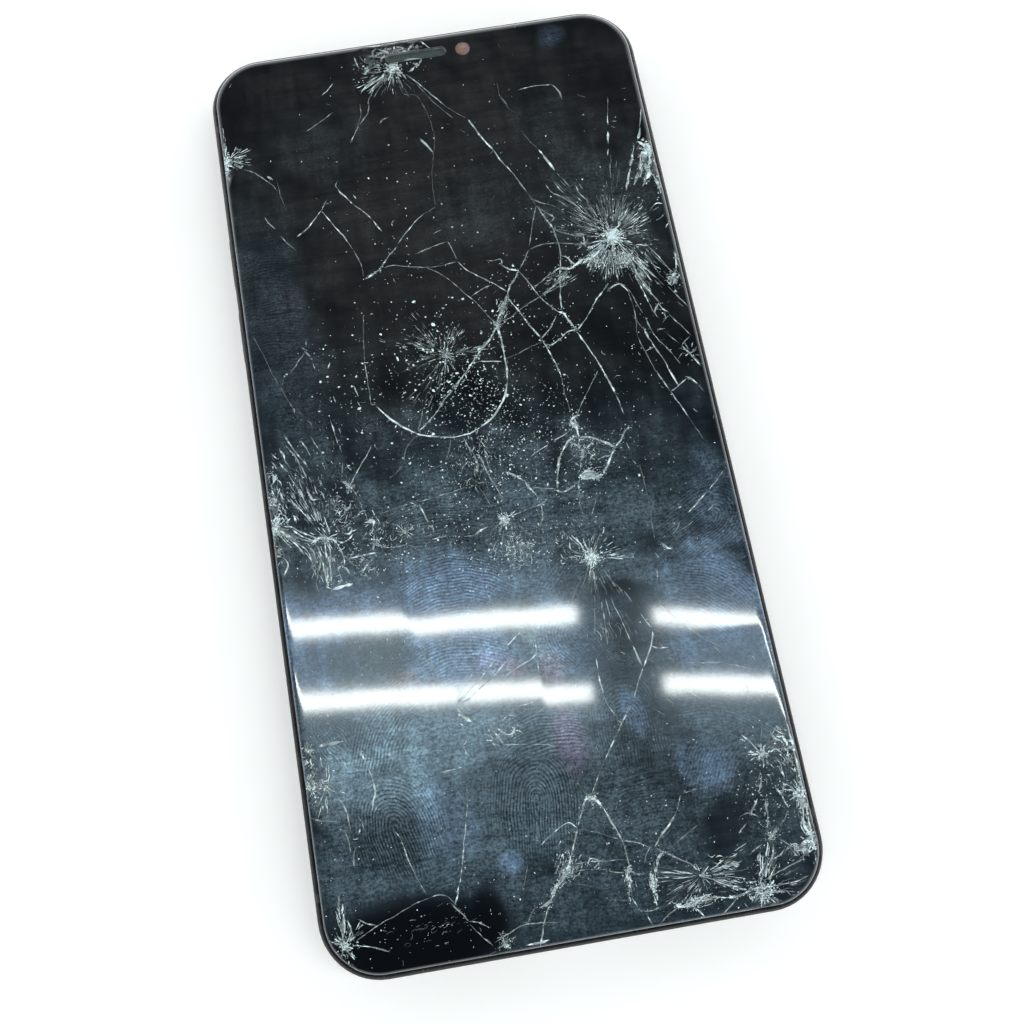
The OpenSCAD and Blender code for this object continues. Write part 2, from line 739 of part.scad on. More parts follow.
module volume_up_button() {
  color([0.15, 0.16, 0.17]) translate([0, volume_y[0], mid_z]) scale_side(-1)
    side_button(volume_len);
}

module volume_down_button() {
  color([0.15, 0.16, 0.17]) translate([0, volume_y[1], mid_z]) scale_side(-1)
    side_button(volume_len);
}

// Dome switch behind the button at this place.
module dome(side, y) {
  x = inner_w / 2 - flange_gap - flange_t - button_travel;
  translate([0, y, mid_z]) scale_side(side) {
    block([x - 0.45, -2, -1], [x - 0.15, 2, 1]);
    rod_x(0.8, x - 0.15, x - 0.03);
  }
}

module button_switches() {
  color([0.8, 0.8, 0.78]) {
    dome(1, power_y);
    for (y = volume_y) dome(-1, y);
  }
}

// Flat lead standing along the inside of the band.
module side_flex(side, y0, y1) {
  x = inner_w / 2 - flange_gap - flange_t - button_travel - 0.45;
  scale_side(side) block([x - 0.15, side * y0, mid_z - 1.1], [x, side * y1, mid_z + 1.1]);
}

module volume_flex() {
  color([0.75, 0.45, 0.15]) side_flex(-1, 49, 20);
}

module power_flex() {
  color([0.75, 0.45, 0.15]) side_flex(1, 18, 42);
}

cover_glass();
display_bezel();
display_panel();
display_backplate();
front_seal();
display_flex();
touch_flex();
earpiece_mesh();
earpiece_speaker();
front_camera();
proximity_sensor();
mid_frame();
antenna_lines();
rear_cover();
rear_seal();
camera_ring();
camera_window();
main_camera();
wide_camera();
flash_lens();
flash_led();
battery();
battery_tape();
battery_flex();
main_board();
board_shields();
board_connectors();
connector_cover();
board_screws();
antenna_cable();
sim_reader();
sim_tray();
sim_card();
charging_flex();
charge_port();
bottom_screws();
speaker_mesh();
microphone_mesh();
bottom_microphone();
loudspeaker();
vibration_motor();
wireless_coil();
coil_shield();
power_button();
volume_up_button();
volume_down_button();
button_switches();
volume_flex();
power_flex();
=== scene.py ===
import json
import math

import bpy
import numpy as np
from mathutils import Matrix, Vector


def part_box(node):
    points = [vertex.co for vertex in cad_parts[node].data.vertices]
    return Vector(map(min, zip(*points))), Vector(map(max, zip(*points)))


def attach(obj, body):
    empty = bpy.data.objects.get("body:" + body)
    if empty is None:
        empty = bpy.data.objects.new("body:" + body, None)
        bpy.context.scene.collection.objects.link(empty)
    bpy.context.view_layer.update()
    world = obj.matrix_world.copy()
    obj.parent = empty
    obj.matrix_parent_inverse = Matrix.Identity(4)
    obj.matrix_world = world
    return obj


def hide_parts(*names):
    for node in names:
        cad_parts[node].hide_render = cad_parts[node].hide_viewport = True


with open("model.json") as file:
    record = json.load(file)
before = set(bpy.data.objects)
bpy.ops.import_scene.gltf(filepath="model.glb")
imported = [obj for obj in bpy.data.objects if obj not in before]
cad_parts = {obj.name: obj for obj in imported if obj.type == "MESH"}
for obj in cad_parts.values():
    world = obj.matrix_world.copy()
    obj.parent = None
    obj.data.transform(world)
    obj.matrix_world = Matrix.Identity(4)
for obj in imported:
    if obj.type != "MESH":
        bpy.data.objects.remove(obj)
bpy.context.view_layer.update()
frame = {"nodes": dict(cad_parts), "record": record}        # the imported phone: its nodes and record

# Shattered phone. Lengths are in millimetres until a mesh is written, then in metres.
mm = 0.001
body = "phone"
rangeSockets = ("From Min", "From Max", "To Min", "To Max")


# mesh and material helpers

def putMesh(name, points, faceGroups, finish=None, smooth=True, marks=None):
    # points (n, 3) in mm; faceGroups is a list of (count, corners) index arrays
    mesh = bpy.data.meshes.new(name)
    corners = np.concatenate([np.asarray(group).ravel() for group in faceGroups]).astype(np.int32)
    sizes = np.concatenate([np.full(len(group), np.shape(group)[1]) for group in faceGroups])
    starts = np.concatenate([[0], np.cumsum(sizes)[:-1]]).astype(np.int32)
    mesh.vertices.add(len(points))
    mesh.vertices.foreach_set("co", (np.asarray(points) * mm).astype(np.float32).ravel())
    mesh.loops.add(len(corners))
    mesh.loops.foreach_set("vertex_index", corners)
    mesh.polygons.add(len(sizes))
    mesh.polygons.foreach_set("loop_start", starts)
    mesh.update(calc_edges=True)
    mesh.validate()
    mesh.polygons.foreach_set("use_smooth", np.full(len(mesh.polygons), smooth))
    for mark, values in (marks or {}).items():
        values = np.asarray(values, dtype=np.float32)
        if values.ndim == 2:
            data = mesh.attributes.new(mark, "FLOAT_COLOR", "POINT").data
            data.foreach_set("color", np.column_stack([values, np.ones(len(values))]).ravel())
        else:
            mesh.attributes.new(mark, "FLOAT", "POINT").data.foreach_set("value", values)
    piece = bpy.data.objects.new(name, mesh)
    bpy.context.scene.collection.objects.link(piece)
    if finish:
        mesh.materials.append(finish)
    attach(piece, body)
    return piece


def gridFaces(rows, columns, wrap=False, start=0):
    # quads of a grid whose point (i, j) has index start + i * columns + j; wrap joins the columns
    i, j = np.meshgrid(np.arange(rows - 1), np.arange(columns if wrap else columns - 1), indexing="ij")
    a = start + i * columns + j
    b = start + i * columns + (j + 1) % columns
    return np.stack([a, b, b + columns, a + columns], axis=-1).reshape(-1, 4)


class Recipe:
    # a small helper round one node material with a Principled shader
    def __init__(self, name):
        self.material = bpy.data.materials.new(name)
        self.material.use_nodes = True
        self.nodes = self.material.node_tree.nodes
        self.links = self.material.node_tree.links
        self.shader = self.nodes["Principled BSDF"]
        self.place = self.nodes.new("ShaderNodeTexCoord").outputs["Object"]

    def set(self, **values):
        for key, value in values.items():
            socket = self.shader.inputs[key.replace("_", " ")]
            if isinstance(value, bpy.types.NodeSocket):
                self.links.new(value, socket)
            else:
                socket.default_value = value
        return self

    def feed(self, node, **inputs):
        for key, value in inputs.items():
            socket = node.inputs[int(key[1:])] if key[0] == "i" and key[1:].isdigit() else node.inputs[key]
            if isinstance(value, bpy.types.NodeSocket):
                self.links.new(value, socket)
            else:
                socket.default_value = value
        return node

    def mark(self, name, kind="Fac"):
        node = self.nodes.new("ShaderNodeAttribute")
        node.attribute_name = name
        return node.outputs[kind]

    def stretch(self, scale, turn=(0, 0, 0), where=None):
        node = self.feed(self.nodes.new("ShaderNodeMapping"), Vector=where or self.place, Scale=scale,
                         Rotation=turn)
        return node.outputs["Vector"]

    def noise(self, scale, detail=3.0, roughness=0.5, where=None, warp=0.0):
        node = self.feed(self.nodes.new("ShaderNodeTexNoise"), Vector=where or self.place, Scale=scale,
                         Detail=detail, Roughness=roughness, Distortion=warp)
        return node.outputs["Fac"]

    def cells(self, scale):
        node = self.feed(self.nodes.new("ShaderNodeTexVoronoi"), Vector=self.place, Scale=scale)
        return node.outputs["Distance"]

    def math(self, operation, a, b=0.0, c=0.0):
        node = self.nodes.new("ShaderNodeMath")
        node.operation = operation
        return self.feed(node, i0=a, i1=b, i2=c).outputs[0]

    def vector(self, operation, output="Vector", **inputs):
        node = self.nodes.new("ShaderNodeVectorMath")
        node.operation = operation
        return self.feed(node, **inputs).outputs[output]

    def grey(self, colour):
        return self.feed(self.nodes.new("ShaderNodeRGBToBW"), Color=colour).outputs[0]

    def spread(self, value, fromLow, fromHigh, toLow=0.0, toHigh=1.0):
        node = self.feed(self.nodes.new("ShaderNodeMapRange"), Value=value)
        for key, number in zip(rangeSockets, (fromLow, fromHigh, toLow, toHigh)):
            node.inputs[key].default_value = number
        return node.outputs["Result"]

    def blend(self, amount, a, b, mode="MIX"):
        node = self.nodes.new("ShaderNodeMix")
        node.data_type = "RGBA"
        node.blend_type = mode
        self.feed(node, i0=amount)
        for index, value in ((6, a), (7, b)):
            if isinstance(value, bpy.types.NodeSocket):
                self.links.new(value, node.inputs[index])
            else:
                node.inputs[index].default_value = (*value, 1.0)
        return node.outputs[2]

    def bump(self, height, strength, distance):
        node = self.feed(self.nodes.new("ShaderNodeBump"), Height=height, Strength=strength,
                         Distance=distance)
        self.links.new(node.outputs["Normal"], self.shader.inputs["Normal"])
        return self


# the front glass: outline, height and film of grease

glassBox = [np.array(corner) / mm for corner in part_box("cover_glass")]
glass = {
    "halfWidth": glassBox[1][0],      # outline of the glass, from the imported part
    "halfLength": glassBox[1][1],
    "top": glassBox[1][2],
    "under": glassBox[0][2],
    "cornerRadius": 8.5,
    "edgeWidth": 1.25,                # how wide the rounded edge is
    "edgeDrop": 0.42,                 # how far it falls
    "step": 0.44,                     # spacing of the surface's grid
    "wave": 0.0011,                   # slow waviness of the glass
}

# Marks below are set out on the band's outline, a little under the glass; on the glass they
# draw in slightly
markScale, markShift = 0.99, np.array([-0.15, -0.45])

# Loose plates between the fractures lean a little, which breaks the reflections at their
# edges: where the plate starts and ends along y, its slope, the line (x at y = -25 and at
# y = -45) that bounds it on the left and on the right, and a twist that grows with x
leaningPlates = [
    (-36.0, -17.0, 0.0010, (-40, -40), (-18.9, -12.6), 0.00006),
    (-36.0, -17.0, -0.0018, (-18.7, -12.4), (-4.0, -4.2), 0.00012),
    (-49.0, -36.5, -0.0043, (1.5, 0.8), (10.4, 10.6), 0),
    (-37.0, -22.0, -0.0004, (20.6, 19.5), (60, 60), -0.00058),
    (-52.0, -38.5, -0.0003, (18.5, 18.8), (60, 60), -0.00030),
]

# Chips out of the edge: place, half width and half length, depth
edgeChips = [
    (-37.9, 60, 1.9, 4.6, 0.3), (-37.9, -8.2, 1.7, 4.2, 0.3), (-37.7, -49.5, 1.8, 3.4, 0.26),
    (37.9, 47.6, 1.8, 5, 0.3), (37.8, -65.5, 1.6, 5.8, 0.28), (-34.8, -75.3, 2, 1.9, 0.24),
    (-12, -78.1, 1.4, 0.9, 0.25), (28, -78, 2.2, 1, 0.22), (-5, 78, 5.5, 1.6, 0.22),
]


def outlineGap(x, y, plate=glass):
    # distance inside a rounded rectangle: radius less the distance from the corner centres' box
    r = plate["cornerRadius"]
    across = np.abs(x) - (plate["halfWidth"] - r)
    along = np.abs(y) - (plate["halfLength"] - r)
    outside = np.hypot(np.maximum(across, 0), np.maximum(along, 0))
    return r - (outside + np.minimum(np.maximum(across, along), 0))


def wavyNoise(x, y, size, seed):
    # sum of six sine waves of random heading and phase, about one wave per size, range -1 to 1
    random = np.random.default_rng(seed)
    heading = random.uniform(0, 2 * np.pi, 6)
    phase = random.uniform(0, 2 * np.pi, 6)
    pitch = size * random.uniform(0.6, 1.5, 6)
    total = 0
    for h, p, s in zip(heading, phase, pitch):
        total = total + np.sin((x * np.cos(h) + y * np.sin(h)) * 2 * np.pi / s + p)
    return total / 3.2


def onGlass(points):
    # from the outline's plane to the glass: scaled about the middle, then shifted
    return np.asarray(points, float) * markScale + markShift


def plateLean(x, y):
    # each plate has one slope all over; it fades in and out along y over 1.5 mm and changes
    # sharply at its bounding lines
    total = np.zeros(np.shape(x))
    for low, high, slope, left, right, twist in leaningPlates:
        share = (-25 - y) / 20
        inside = np.clip((x - left[0] - (left[1] - left[0]) * share) / 0.3 + 0.5, 0, 1)
        inside = inside * np.clip((right[0] + (right[1] - right[0]) * share - x) / 0.3 + 0.5, 0, 1)
        inside = inside * np.clip((y - low) / 1.5, 0, 1) * np.clip((high - y) / 1.5, 0, 1)
        total += inside * (slope + twist * np.maximum(x - left[0], 0))
    return total


def glassHeight(x, y):
    # top face, less a quarter-ellipse roll at the edge, less slow waves and chips (square
    # root of a bowl, broken into facets)
    gap = np.clip(outlineGap(x, y) / glass["edgeWidth"], 0, 1)
    z = glass["top"] - glass["edgeDrop"] * (1 - np.sqrt(1 - (1 - gap) ** 2))
    z = z - glass["wave"] * (1 + wavyNoise(x, y, 17, 5) + 0.5 * wavyNoise(x, y, 7, 6)) * 1.6
    for cx, cy, rx, ry, deep in edgeChips:
        cy = cy * markScale + markShift[1]
        bowl = np.clip(1.1 - np.hypot((x - cx) / rx, (y - cy) / ry), 0, 1)
        facets = 0.75 + 0.35 * np.sign(wavyNoise(x, y, 1.5, 9)) * np.abs(wavyNoise(x, y, 1.1, 10))
        z = z - deep * np.sqrt(bowl) * facets * (bowl > 0)
    return np.minimum(z, glass["top"])


# Film of grease and dust on the glass, with painted haze and tints by the tube reflections: middle, half sizes,
# turn in degrees, amount, colour
# the blue and slate patches about the two tube reflections (y about -20 to -60) are painted haze round them; the
# violet, reddish and olive spots there are painted tints seen in those reflections
slate, blue, violet = (0.055, 0.086, 0.107), (0.070, 0.117, 0.200), (0.115, 0.070, 0.125)
olive, reddish, smoke = (0.050, 0.058, 0.034), (0.150, 0.066, 0.056), (0.112, 0.114, 0.104)
greaseAndPaintedHazePatches = [
    (0, 46, 46, 44, 0, 0.15, smoke), (0, -47, 48, 40, 0, 0.66, slate), (-10, -34, 26, 6, 0, 0.46, slate),
    (0, -12, 44, 17, 0, 0.28, slate), (-33, 20, 7, 34, 0, 0.17, slate), (-33, 24, 6, 20, 0, 0.06, blue),
    (-27, 10, 9, 15, 0, 0.08, slate), (-12, 1, 12, 9, 25, 0.08, slate), (-20, -47, 17, 6.5, 8, 1.25, slate),
    (-24, -60, 16, 11, 0, 0.24, slate), (-33, -46, 6, 5, 0, 0.5, slate), (4, -46, 8, 5, 0, 0.36, slate),
    (28, 40, 12, 13, 0, 0.22, slate), (24.5, 75.5, 2.6, 2.3, 0, 0.22, blue),
    (-21, 60, 9, 8, 0, 0.08, slate), (20, 58, 6, 6, 30, 0.1, slate), (8, 43, 12, 7, 0, 0.08, slate),
    (-17, -23.5, 21, 5.5, 0, 0.38, blue), (-33, -24, 7, 4.6, 0, 0.5, blue),
    (-11, -24, 8, 7, -15, 0.62, blue), (-12, -34, 9, 5, -10, 0.8, blue), (-35, -32, 4, 5, 0, 0.55, blue),
    (6, -34, 7, 7, 0, 0.42, blue), (15, -30, 2.6, 2.2, 0, 0.85, blue),
    (14.4, -46.5, 1.9, 3.4, 8, 0.75, blue), (-8.4, -65.6, 1.7, 1.5, 0, 0.75, blue),
    (30, -30, 9, 8, -20, 0.42, blue), (31, -40, 8, 6, -15, 0.55, blue),
    (-17.5, -58, 4.6, 6.5, 12, 0.42, blue), (23.5, -57, 4.3, 4, -25, 0.55, blue),
    (29, -50, 8, 4.5, -20, 0.38, slate), (-24, -44, 10, 5, 20, 0.45, slate),
    (-28, -57, 10, 10, 0, 0.12, slate), (-5, -60, 11, 8, 0, 0.16, slate), (34, -20, 5, 12, 0, 0.2, blue),
    (3.8, -50, 2.6, 5.2, 0, 0.55, violet), (-6, -36, 4.5, 2, -15, 0.4, violet),
    (3, -38, 2.2, 2.6, 0, 0.4, reddish), (-20.5, -35.8, 2.6, 1.3, 15, 0.45, reddish),
    (-3, -37, 2.4, 1.3, -20, 0.4, reddish), (-22, -31, 5, 3.6, -8, 0.55, olive),
    (1, -33, 2.6, 2.8, 0, 0.5, olive),
]
# Places where the film is wiped off: middle, half sizes, turn, share that is left
wipedPatches = [
    (-24, -75, 14, 7.5, 0, 0), (-13, -73, 2.5, 5, 0, 0.1), (17.5, -29, 5.5, 3.2, -20, 0.3),
    (24.5, -66, 3.6, 5.2, -25, 0.4), (-22, -31.5, 4.6, 3, -8, 0.45), (14, -35, 6.5, 9.5, 0, 0.45),
    (18, -52, 6, 9, 20, 0.62), (-3, 9, 6.5, 6, 0, 0.25), (5, -20, 40, 2, 0, 0.8), (20, 20, 12, 20, 0, 0.75),
    (-26, -60, 6, 5, 0, 0.6),
]
# Finger marks: middle, half sizes, turn in degrees, shape, strength
fingerMarks = [
    (-3, -57, 7.5, 8.5, -8, "loop", 1), (-25, -58, 7.5, 8, 12, "loop", 0.9), (0, -48, 7, 5, 3, "band", 0.9),
    (-10, -22, 9.5, 6.5, -4, "band", 0.9), (-12, -12, 8, 6, 0, "band", 0.55),
    (-25, -43, 8, 5, 55, "band", 0.9), (-33, -42, 4.5, 6, 35, "loop", 0.7),
    (-11, -34, 8, 4.5, -3, "band", 0.7), (8, -34, 6.5, 6.5, 40, "loop", 0.55),
    (-33, 31, 6, 14, 2, "band", 0.45), (-22, 11, 9, 9, -40, "band", 0.35),
    (33, -18, 6.5, 10, -62, "loop", 0.6), (31, -31, 7, 7, -35, "band", 0.8),
    (13, -48, 7, 8, 0, "loop", 0.55), (10, -22, 8, 5, 30, "band", 0.45), (24, -57, 6, 6, 60, "band", 0.45),
    (0, -16, 5, 6, 80, "loop", 0.5), (-16, -66, 6.5, 4, 0, "band", 0.3), (28, -49, 9, 4, -20, "band", 0.5),
    (13, -60, 6, 5, 5, "band", 0.4), (-17, -73, 6, 5, 0, "loop", 0.5), (-30, -5, 5, 8, 70, "band", 0.3),
]
ridgePitch = 0.52


def turned(x, y, cx, cy, degrees):
    # coordinates about a middle, turned back by an angle
    a = math.radians(degrees)
    return ((x - cx) * math.cos(a) + (y - cy) * math.sin(a), (y - cy) * math.cos(a) - (x - cx) * math.sin(a))


# grease colour; about the tube reflections it also paints their haze and tints
def greaseAndPaintedHaze(x, y):
    # colour = sum of soft-edged ellipses, each exp(-distance^5) or for the widest
    # exp(-distance^3), times what the wipes leave
    colour = np.zeros((*np.shape(x), 3))
    x, y = (x - markShift[0]) / markScale, (y - markShift[1]) / markScale
    ragged = wavyNoise(x, y, 9, 21) * 0.18 + wavyNoise(x, y, 3.5, 22) * 0.07
    for cx, cy, rx, ry, turn, amount, tint in greaseAndPaintedHazePatches:
        p, q = turned(x, y, cx, cy, turn)
        weight = amount * np.exp(-np.maximum(np.hypot(p / rx, q / ry) + ragged, 0) ** (3 if rx > 20 else 5))
        colour += weight[..., None] * np.array(tint)
    for cx, cy, rx, ry, turn, left in wipedPatches:
        p, q = turned(x, y, cx, cy, turn)
        wipe = np.exp(-(np.hypot(p / rx, q / ry) + 0.4 * ragged) ** 8)
        colour *= (1 - (1 - left) * wipe)[..., None]
    return colour


def fingerRidges(x, y):
    # ridge count: for a band the distance across it with a slight bow; for a loop concentric
    # arcs above the middle that run out straight below it. The strongest mark wins.
    count = np.zeros(np.shape(x))
    strength = np.zeros(np.shape(x))
    x, y = (x - markShift[0]) / markScale, (y - markShift[1]) / markScale
    for cx, cy, rx, ry, turn, kind, amount in fingerMarks:
        p, q = turned(x, y, cx, cy, turn)
        here = amount * np.exp(-np.hypot(p / rx, q / ry) ** 6)
        if kind == "band":
            phase = q + 0.035 * p ** 2 + 0.25 * wavyNoise(x, y, 6, int(50 + cx))
        else:
            phase = np.hypot(p * 1.15, np.maximum(q, 0) * 0.85) + 0.2 * wavyNoise(x, y, 5, int(50 + cx))
        stronger = here > strength
        count = np.where(stronger, phase / ridgePitch, count)
        strength = np.where(stronger, here, strength)
    return count, strength


def glassFinish():
    # black glass, a clear hard coat, and under it the grease film, whose colour about the tube reflections also
    # paints the haze and tints seen round them: ridges and specks modulate it. The plates' lean turns the normal:
    # normal + (0, -lean, 0), set back to length one.
    r = Recipe("greasyBlackGlassPaintedHaze")
    aside = r.feed(r.nodes.new("ShaderNodeCombineXYZ"), Y=r.math("MULTIPLY", r.mark("lean"), -1.0))
    normal = r.nodes.new("ShaderNodeNewGeometry").outputs["Normal"]
    leaning = r.vector("NORMALIZE", i0=r.vector("ADD", i0=normal, i1=aside.outputs[0]))
    ridge = r.math("SINE", r.math("MULTIPLY", r.mark("ridgeCount"), 2 * math.pi))
    ridge = r.math("MULTIPLY", ridge, r.mark("ridgeStrength"))
    ridge = r.math("MULTIPLY", ridge, r.spread(r.noise(700, 4, 0.6), 0.32, 0.6, 0.1, 1.0))
    ridge = r.math("MULTIPLY_ADD", ridge, 0.80, 1.0)
    grain = r.spread(r.noise(2700, 2, 0.7), 0.36, 0.64, 0.50, 1.50)
    smearA = r.spread(r.noise(1.0, 5, 0.66, r.stretch((70, 620, 60), (0, 0, 0.35))), 0.3, 0.7, 0.62, 1.38)
    smearB = r.spread(r.noise(1.0, 5, 0.62, r.stretch((480, 60, 60), (0, 0, 0.3))), 0.3, 0.7, 0.70, 1.30)
    blot = r.spread(r.noise(130, 6, 0.62, warp=0.6), 0.35, 0.65, 0.72, 1.28)
    smearC = r.spread(r.noise(1.0, 3, 0.6, r.stretch((900, 2600, 900), (0, 0, -0.5))), 0.36, 0.64, 0.68, 1.32)
    amount = ridge
    for factor in (smearA, smearB, blot):
        amount = r.math("MULTIPLY", amount, factor)
    # film colour: real grease, and about the tube reflections painted haze round them
    filmWithPaintedHaze = r.mark("filmWithPaintedHaze", "Color")
    share = r.spread(r.grey(filmWithPaintedHaze), 0.014, 0.038, 0.20, 1.0)    # thicker film is more speckled
    speckle = r.math("SUBTRACT", r.math("MULTIPLY", grain, smearC), 1.0)
    amount = r.math("MULTIPLY", amount, r.math("MULTIPLY_ADD", speckle, share, 1.0))
    scaled = r.vector("SCALE", i0=filmWithPaintedHaze, Scale=amount)
    base = r.blend(1.0, scaled, (0.0006, 0.0016, 0.0036), "ADD")
    rough = r.spread(r.grey(scaled), 0.0, 0.06, 0.10, 0.28)
    r.set(Base_Color=base, Roughness=rough, Specular_IOR_Level=0.40, Specular_Tint=(0.66, 0.84, 1.0, 1.0),
          Coat_Weight=1.0, Coat_Roughness=0.058, Coat_IOR=1.5, Coat_Normal=leaning)
    r.bump(r.noise(700, 4, 0.6), 0.04, 0.00002)
    r.links.new(leaning, r.shader.inputs["Normal"].links[0].from_node.inputs["Normal"])
    return r.material


earpiece = {"x": -0.8, "y": 74.5, "half": 4.65, "radius": 0.75, "meshTop": 7.56, "pitch": 0.32}


def slotGap(x, y, slot):
    # distance outside a stadium: distance from its middle line less its radius, with the
    # direction that leads away from it
    dx = x - np.clip(x, slot["x"] - slot["half"], slot["x"] + slot["half"])
    dy = y - np.clip(y, slot["y"] - slot.get("tall", 0), slot["y"] + slot.get("tall", 0))
    reach = np.maximum(np.hypot(dx, dy), 1e-6)
    return reach - slot["radius"], dx / reach, dy / reach


def withCloser(places, closer):
    # swaps the places inside each closer row's span for that row
    for row in closer:
        places = np.concatenate([places[places < row[0]], row, places[places > row[-1]]])
    return places


def cornerRows(half, r, step, closer=()):
    # rows from one end to the other: y = half - r + r sin(angle) in the corners, even between
    top = half - r + r * np.sin(np.linspace(0, np.pi / 2, 31)[1:])
    middle = np.linspace(-(half - r), half - r, int(2 * (half - r) / step))
    return withCloser(np.concatenate([-top[::-1], middle, top]), closer)


def edgeColumns(half, step, closer=()):
    # shares of the row's half width: even in the middle, bunched towards the rounded edge
    rim = 1.5
    inner = np.linspace(-1, 1, int(2 * (half - rim) / step)) * (half - rim) / half
    outer = (half - rim + rim * np.sin(np.linspace(0, np.pi / 2, 11)[1:])) / half
    return withCloser(np.concatenate([-outer[::-1], inner, outer]), closer)


def plateGrid(halfWidth, halfLength, r, rows, shares, slots):
    # x = share * the row's half width, y = the row; points beside a slot move onto its edge,
    # and the quads inside it go
    past = np.maximum(np.abs(rows) - (halfLength - r), 0)
    rowHalf = halfWidth - r + np.sqrt(np.maximum(r ** 2 - past ** 2, 0))
    x = rowHalf[:, None] * shares[None, :]
    y = np.repeat(rows[:, None], len(shares), axis=1)
    faces = gridFaces(len(rows), len(shares))
    for slot, near in slots:
        gap, ux, uy = slotGap(x, y, slot)
        move = np.where(np.abs(gap) < near, gap, 0)
        x, y = x - move * ux, y - move * uy
        gap = slotGap(x, y, slot)[0].ravel()
        faces = faces[gap[faces].mean(axis=1) > 1e-3]
    index = np.arange(x.size).reshape(x.shape)
    rim = np.concatenate([index[0, :-1], index[:-1, -1], index[-1, :0:-1], index[:0:-1, 0]])
    return x.ravel(), y.ravel(), faces, rim


def rimSkirt(rim, start):
    # quads from a closed row of rim points down to their copies that begin at index start
    k = len(rim)
    here, after = np.arange(k), (np.arange(k) + 1) % k
    return np.stack([rim[here], start + here, start + after, rim[after]], axis=-1)


def makeGlass():
    slotEnds = [np.linspace(c - 0.016, c + 0.016, 9) for c in (-0.1545, 0.109)]
    slotRows = [np.linspace(73.5, 75.5, 15)]
    rows = cornerRows(glass["halfLength"], glass["cornerRadius"], glass["step"], slotRows)
    shares = edgeColumns(glass["halfWidth"], glass["step"], slotEnds)
    x, y, faces, rim = plateGrid(glass["halfWidth"], glass["halfLength"], glass["cornerRadius"],
                                 rows, shares, [(earpiece, 0.09)])
    top = np.stack([x, y, glassHeight(x, y)], axis=-1)
    low = top[rim].copy()
    low[:, 2] = glass["under"]
    points = np.concatenate([top, low])
    floor = (len(top) + np.arange(len(rim))[::-1])[None, :]
    px, py = points[:, 0], points[:, 1]
    count, strength = fingerRidges(px, py)
    lean = plateLean(*((np.stack([px, py]).T - markShift) / markScale).T)
    marks = {"filmWithPaintedHaze": greaseAndPaintedHaze(px, py), "ridgeCount": count, "ridgeStrength": strength, "lean": lean}
    piece = putMesh("shatteredGlass", points, [faces, rimSkirt(rim, len(top)), floor], glassFinish(),
                    marks=marks)
    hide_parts("cover_glass")
    print("glass:", len(rows), "rows,", len(shares), "columns")


def stadiumPath(slot, offset, bend=13, side=22):
    # closed path round a stadium at a distance: straight sides joined by half circles
    r = slot["radius"] + offset
    angle = np.linspace(-np.pi / 2, np.pi / 2, bend)
    right = np.stack([slot["half"] + r * np.cos(angle), r * np.sin(angle)], axis=-1)
    left = np.stack([-slot["half"] - r * np.cos(angle), -r * np.sin(angle)], axis=-1)
    flat = np.linspace(-slot["half"], slot["half"], side + 2)[1:-1]
    low = np.stack([flat, np.full(side, -r)], axis=-1)
    high = np.stack([-flat, np.full(side, r)], axis=-1)
    return np.vstack([low, right, high, left]) + (slot["x"], slot["y"])


def makeEarpiece():
    # rim: a profile (offset, height) carried round the slot; mesh: two sine weaves on a grid
    # whose rows shorten towards the slot's round ends
    top = glass["top"]
    profile = [(0.26, top - 0.03), (0.20, top - 0.001), (0.10, top), (-0.02, top - 0.03), (-0.10, top - 0.16),
               (-0.10, top - 0.50)]
    rings = []
    for offset, z in profile:
        path = stadiumPath(earpiece, offset)
        rings.append(np.column_stack([path, np.full(len(path), z)]))
    r = Recipe("slotRim")
    tone = r.blend(r.spread(r.noise(900, 3), 0.35, 0.65), (0.050, 0.068, 0.066), (0.10, 0.128, 0.124))
    r.set(Base_Color=tone, Roughness=0.35, Metallic=0.2).bump(r.noise(1800, 2), 0.3, 0.00001)
    rim = putMesh("earpieceRim", np.vstack(rings), [gridFaces(len(profile), len(path), True)], r.material)
    rows, columns = 19, 150
    u, v = np.meshgrid(np.linspace(-1, 1, columns), np.linspace(-1, 1, rows))
    halfY = earpiece["radius"] * 0.88
    halfX = earpiece["half"] + halfY * np.sqrt(np.maximum(1 - v ** 2, 0))
    x, y = u * halfX, v * halfY
    weave = np.sin(x * 2 * np.pi / earpiece["pitch"]) * np.sin(y * 2 * np.pi / earpiece["pitch"])
    points = np.stack([x + earpiece["x"], y + earpiece["y"], earpiece["meshTop"] + 0.03 * weave], axis=-1)
    m = Recipe("slotMesh")
    tone = m.blend(m.spread(m.cells(5200), 0.2, 0.6), (0.030, 0.042, 0.041), (0.095, 0.125, 0.122))
    m.set(Base_Color=tone, Roughness=0.5, Metallic=0.3).bump(m.noise(2600, 3), 0.5, 0.00002)
    mesh = putMesh("earpieceWeave", points.reshape(-1, 3), [gridFaces(rows, columns)], m.material)
    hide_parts("earpiece_mesh")
    print("earpiece:", len(rim.data.polygons), "rim faces")


def turnedDisc(name, cx, cy, profile, finish, turns=40, faceUp=True):
    # surface of revolution: a profile (radius, height, zone) turned about an upright line
    radius, height, zone = (np.array(column, float) for column in zip(*profile))
    angle = np.linspace(0, 2 * np.pi, turns, endpoint=False)
    x = cx + radius[:, None] * np.cos(angle)
    y = cy + radius[:, None] * np.sin(angle)
    points = np.stack([x, y, np.repeat(height[:, None], turns, axis=1)], axis=-1).reshape(-1, 3)
    faces = gridFaces(len(profile), turns, True)
    return putMesh(name, points, [faces if faceUp else faces[:, ::-1]], finish,
                   marks={"zone": np.repeat(zone, turns)})


frontCamera = {"x": 7.8, "y": 74.3}


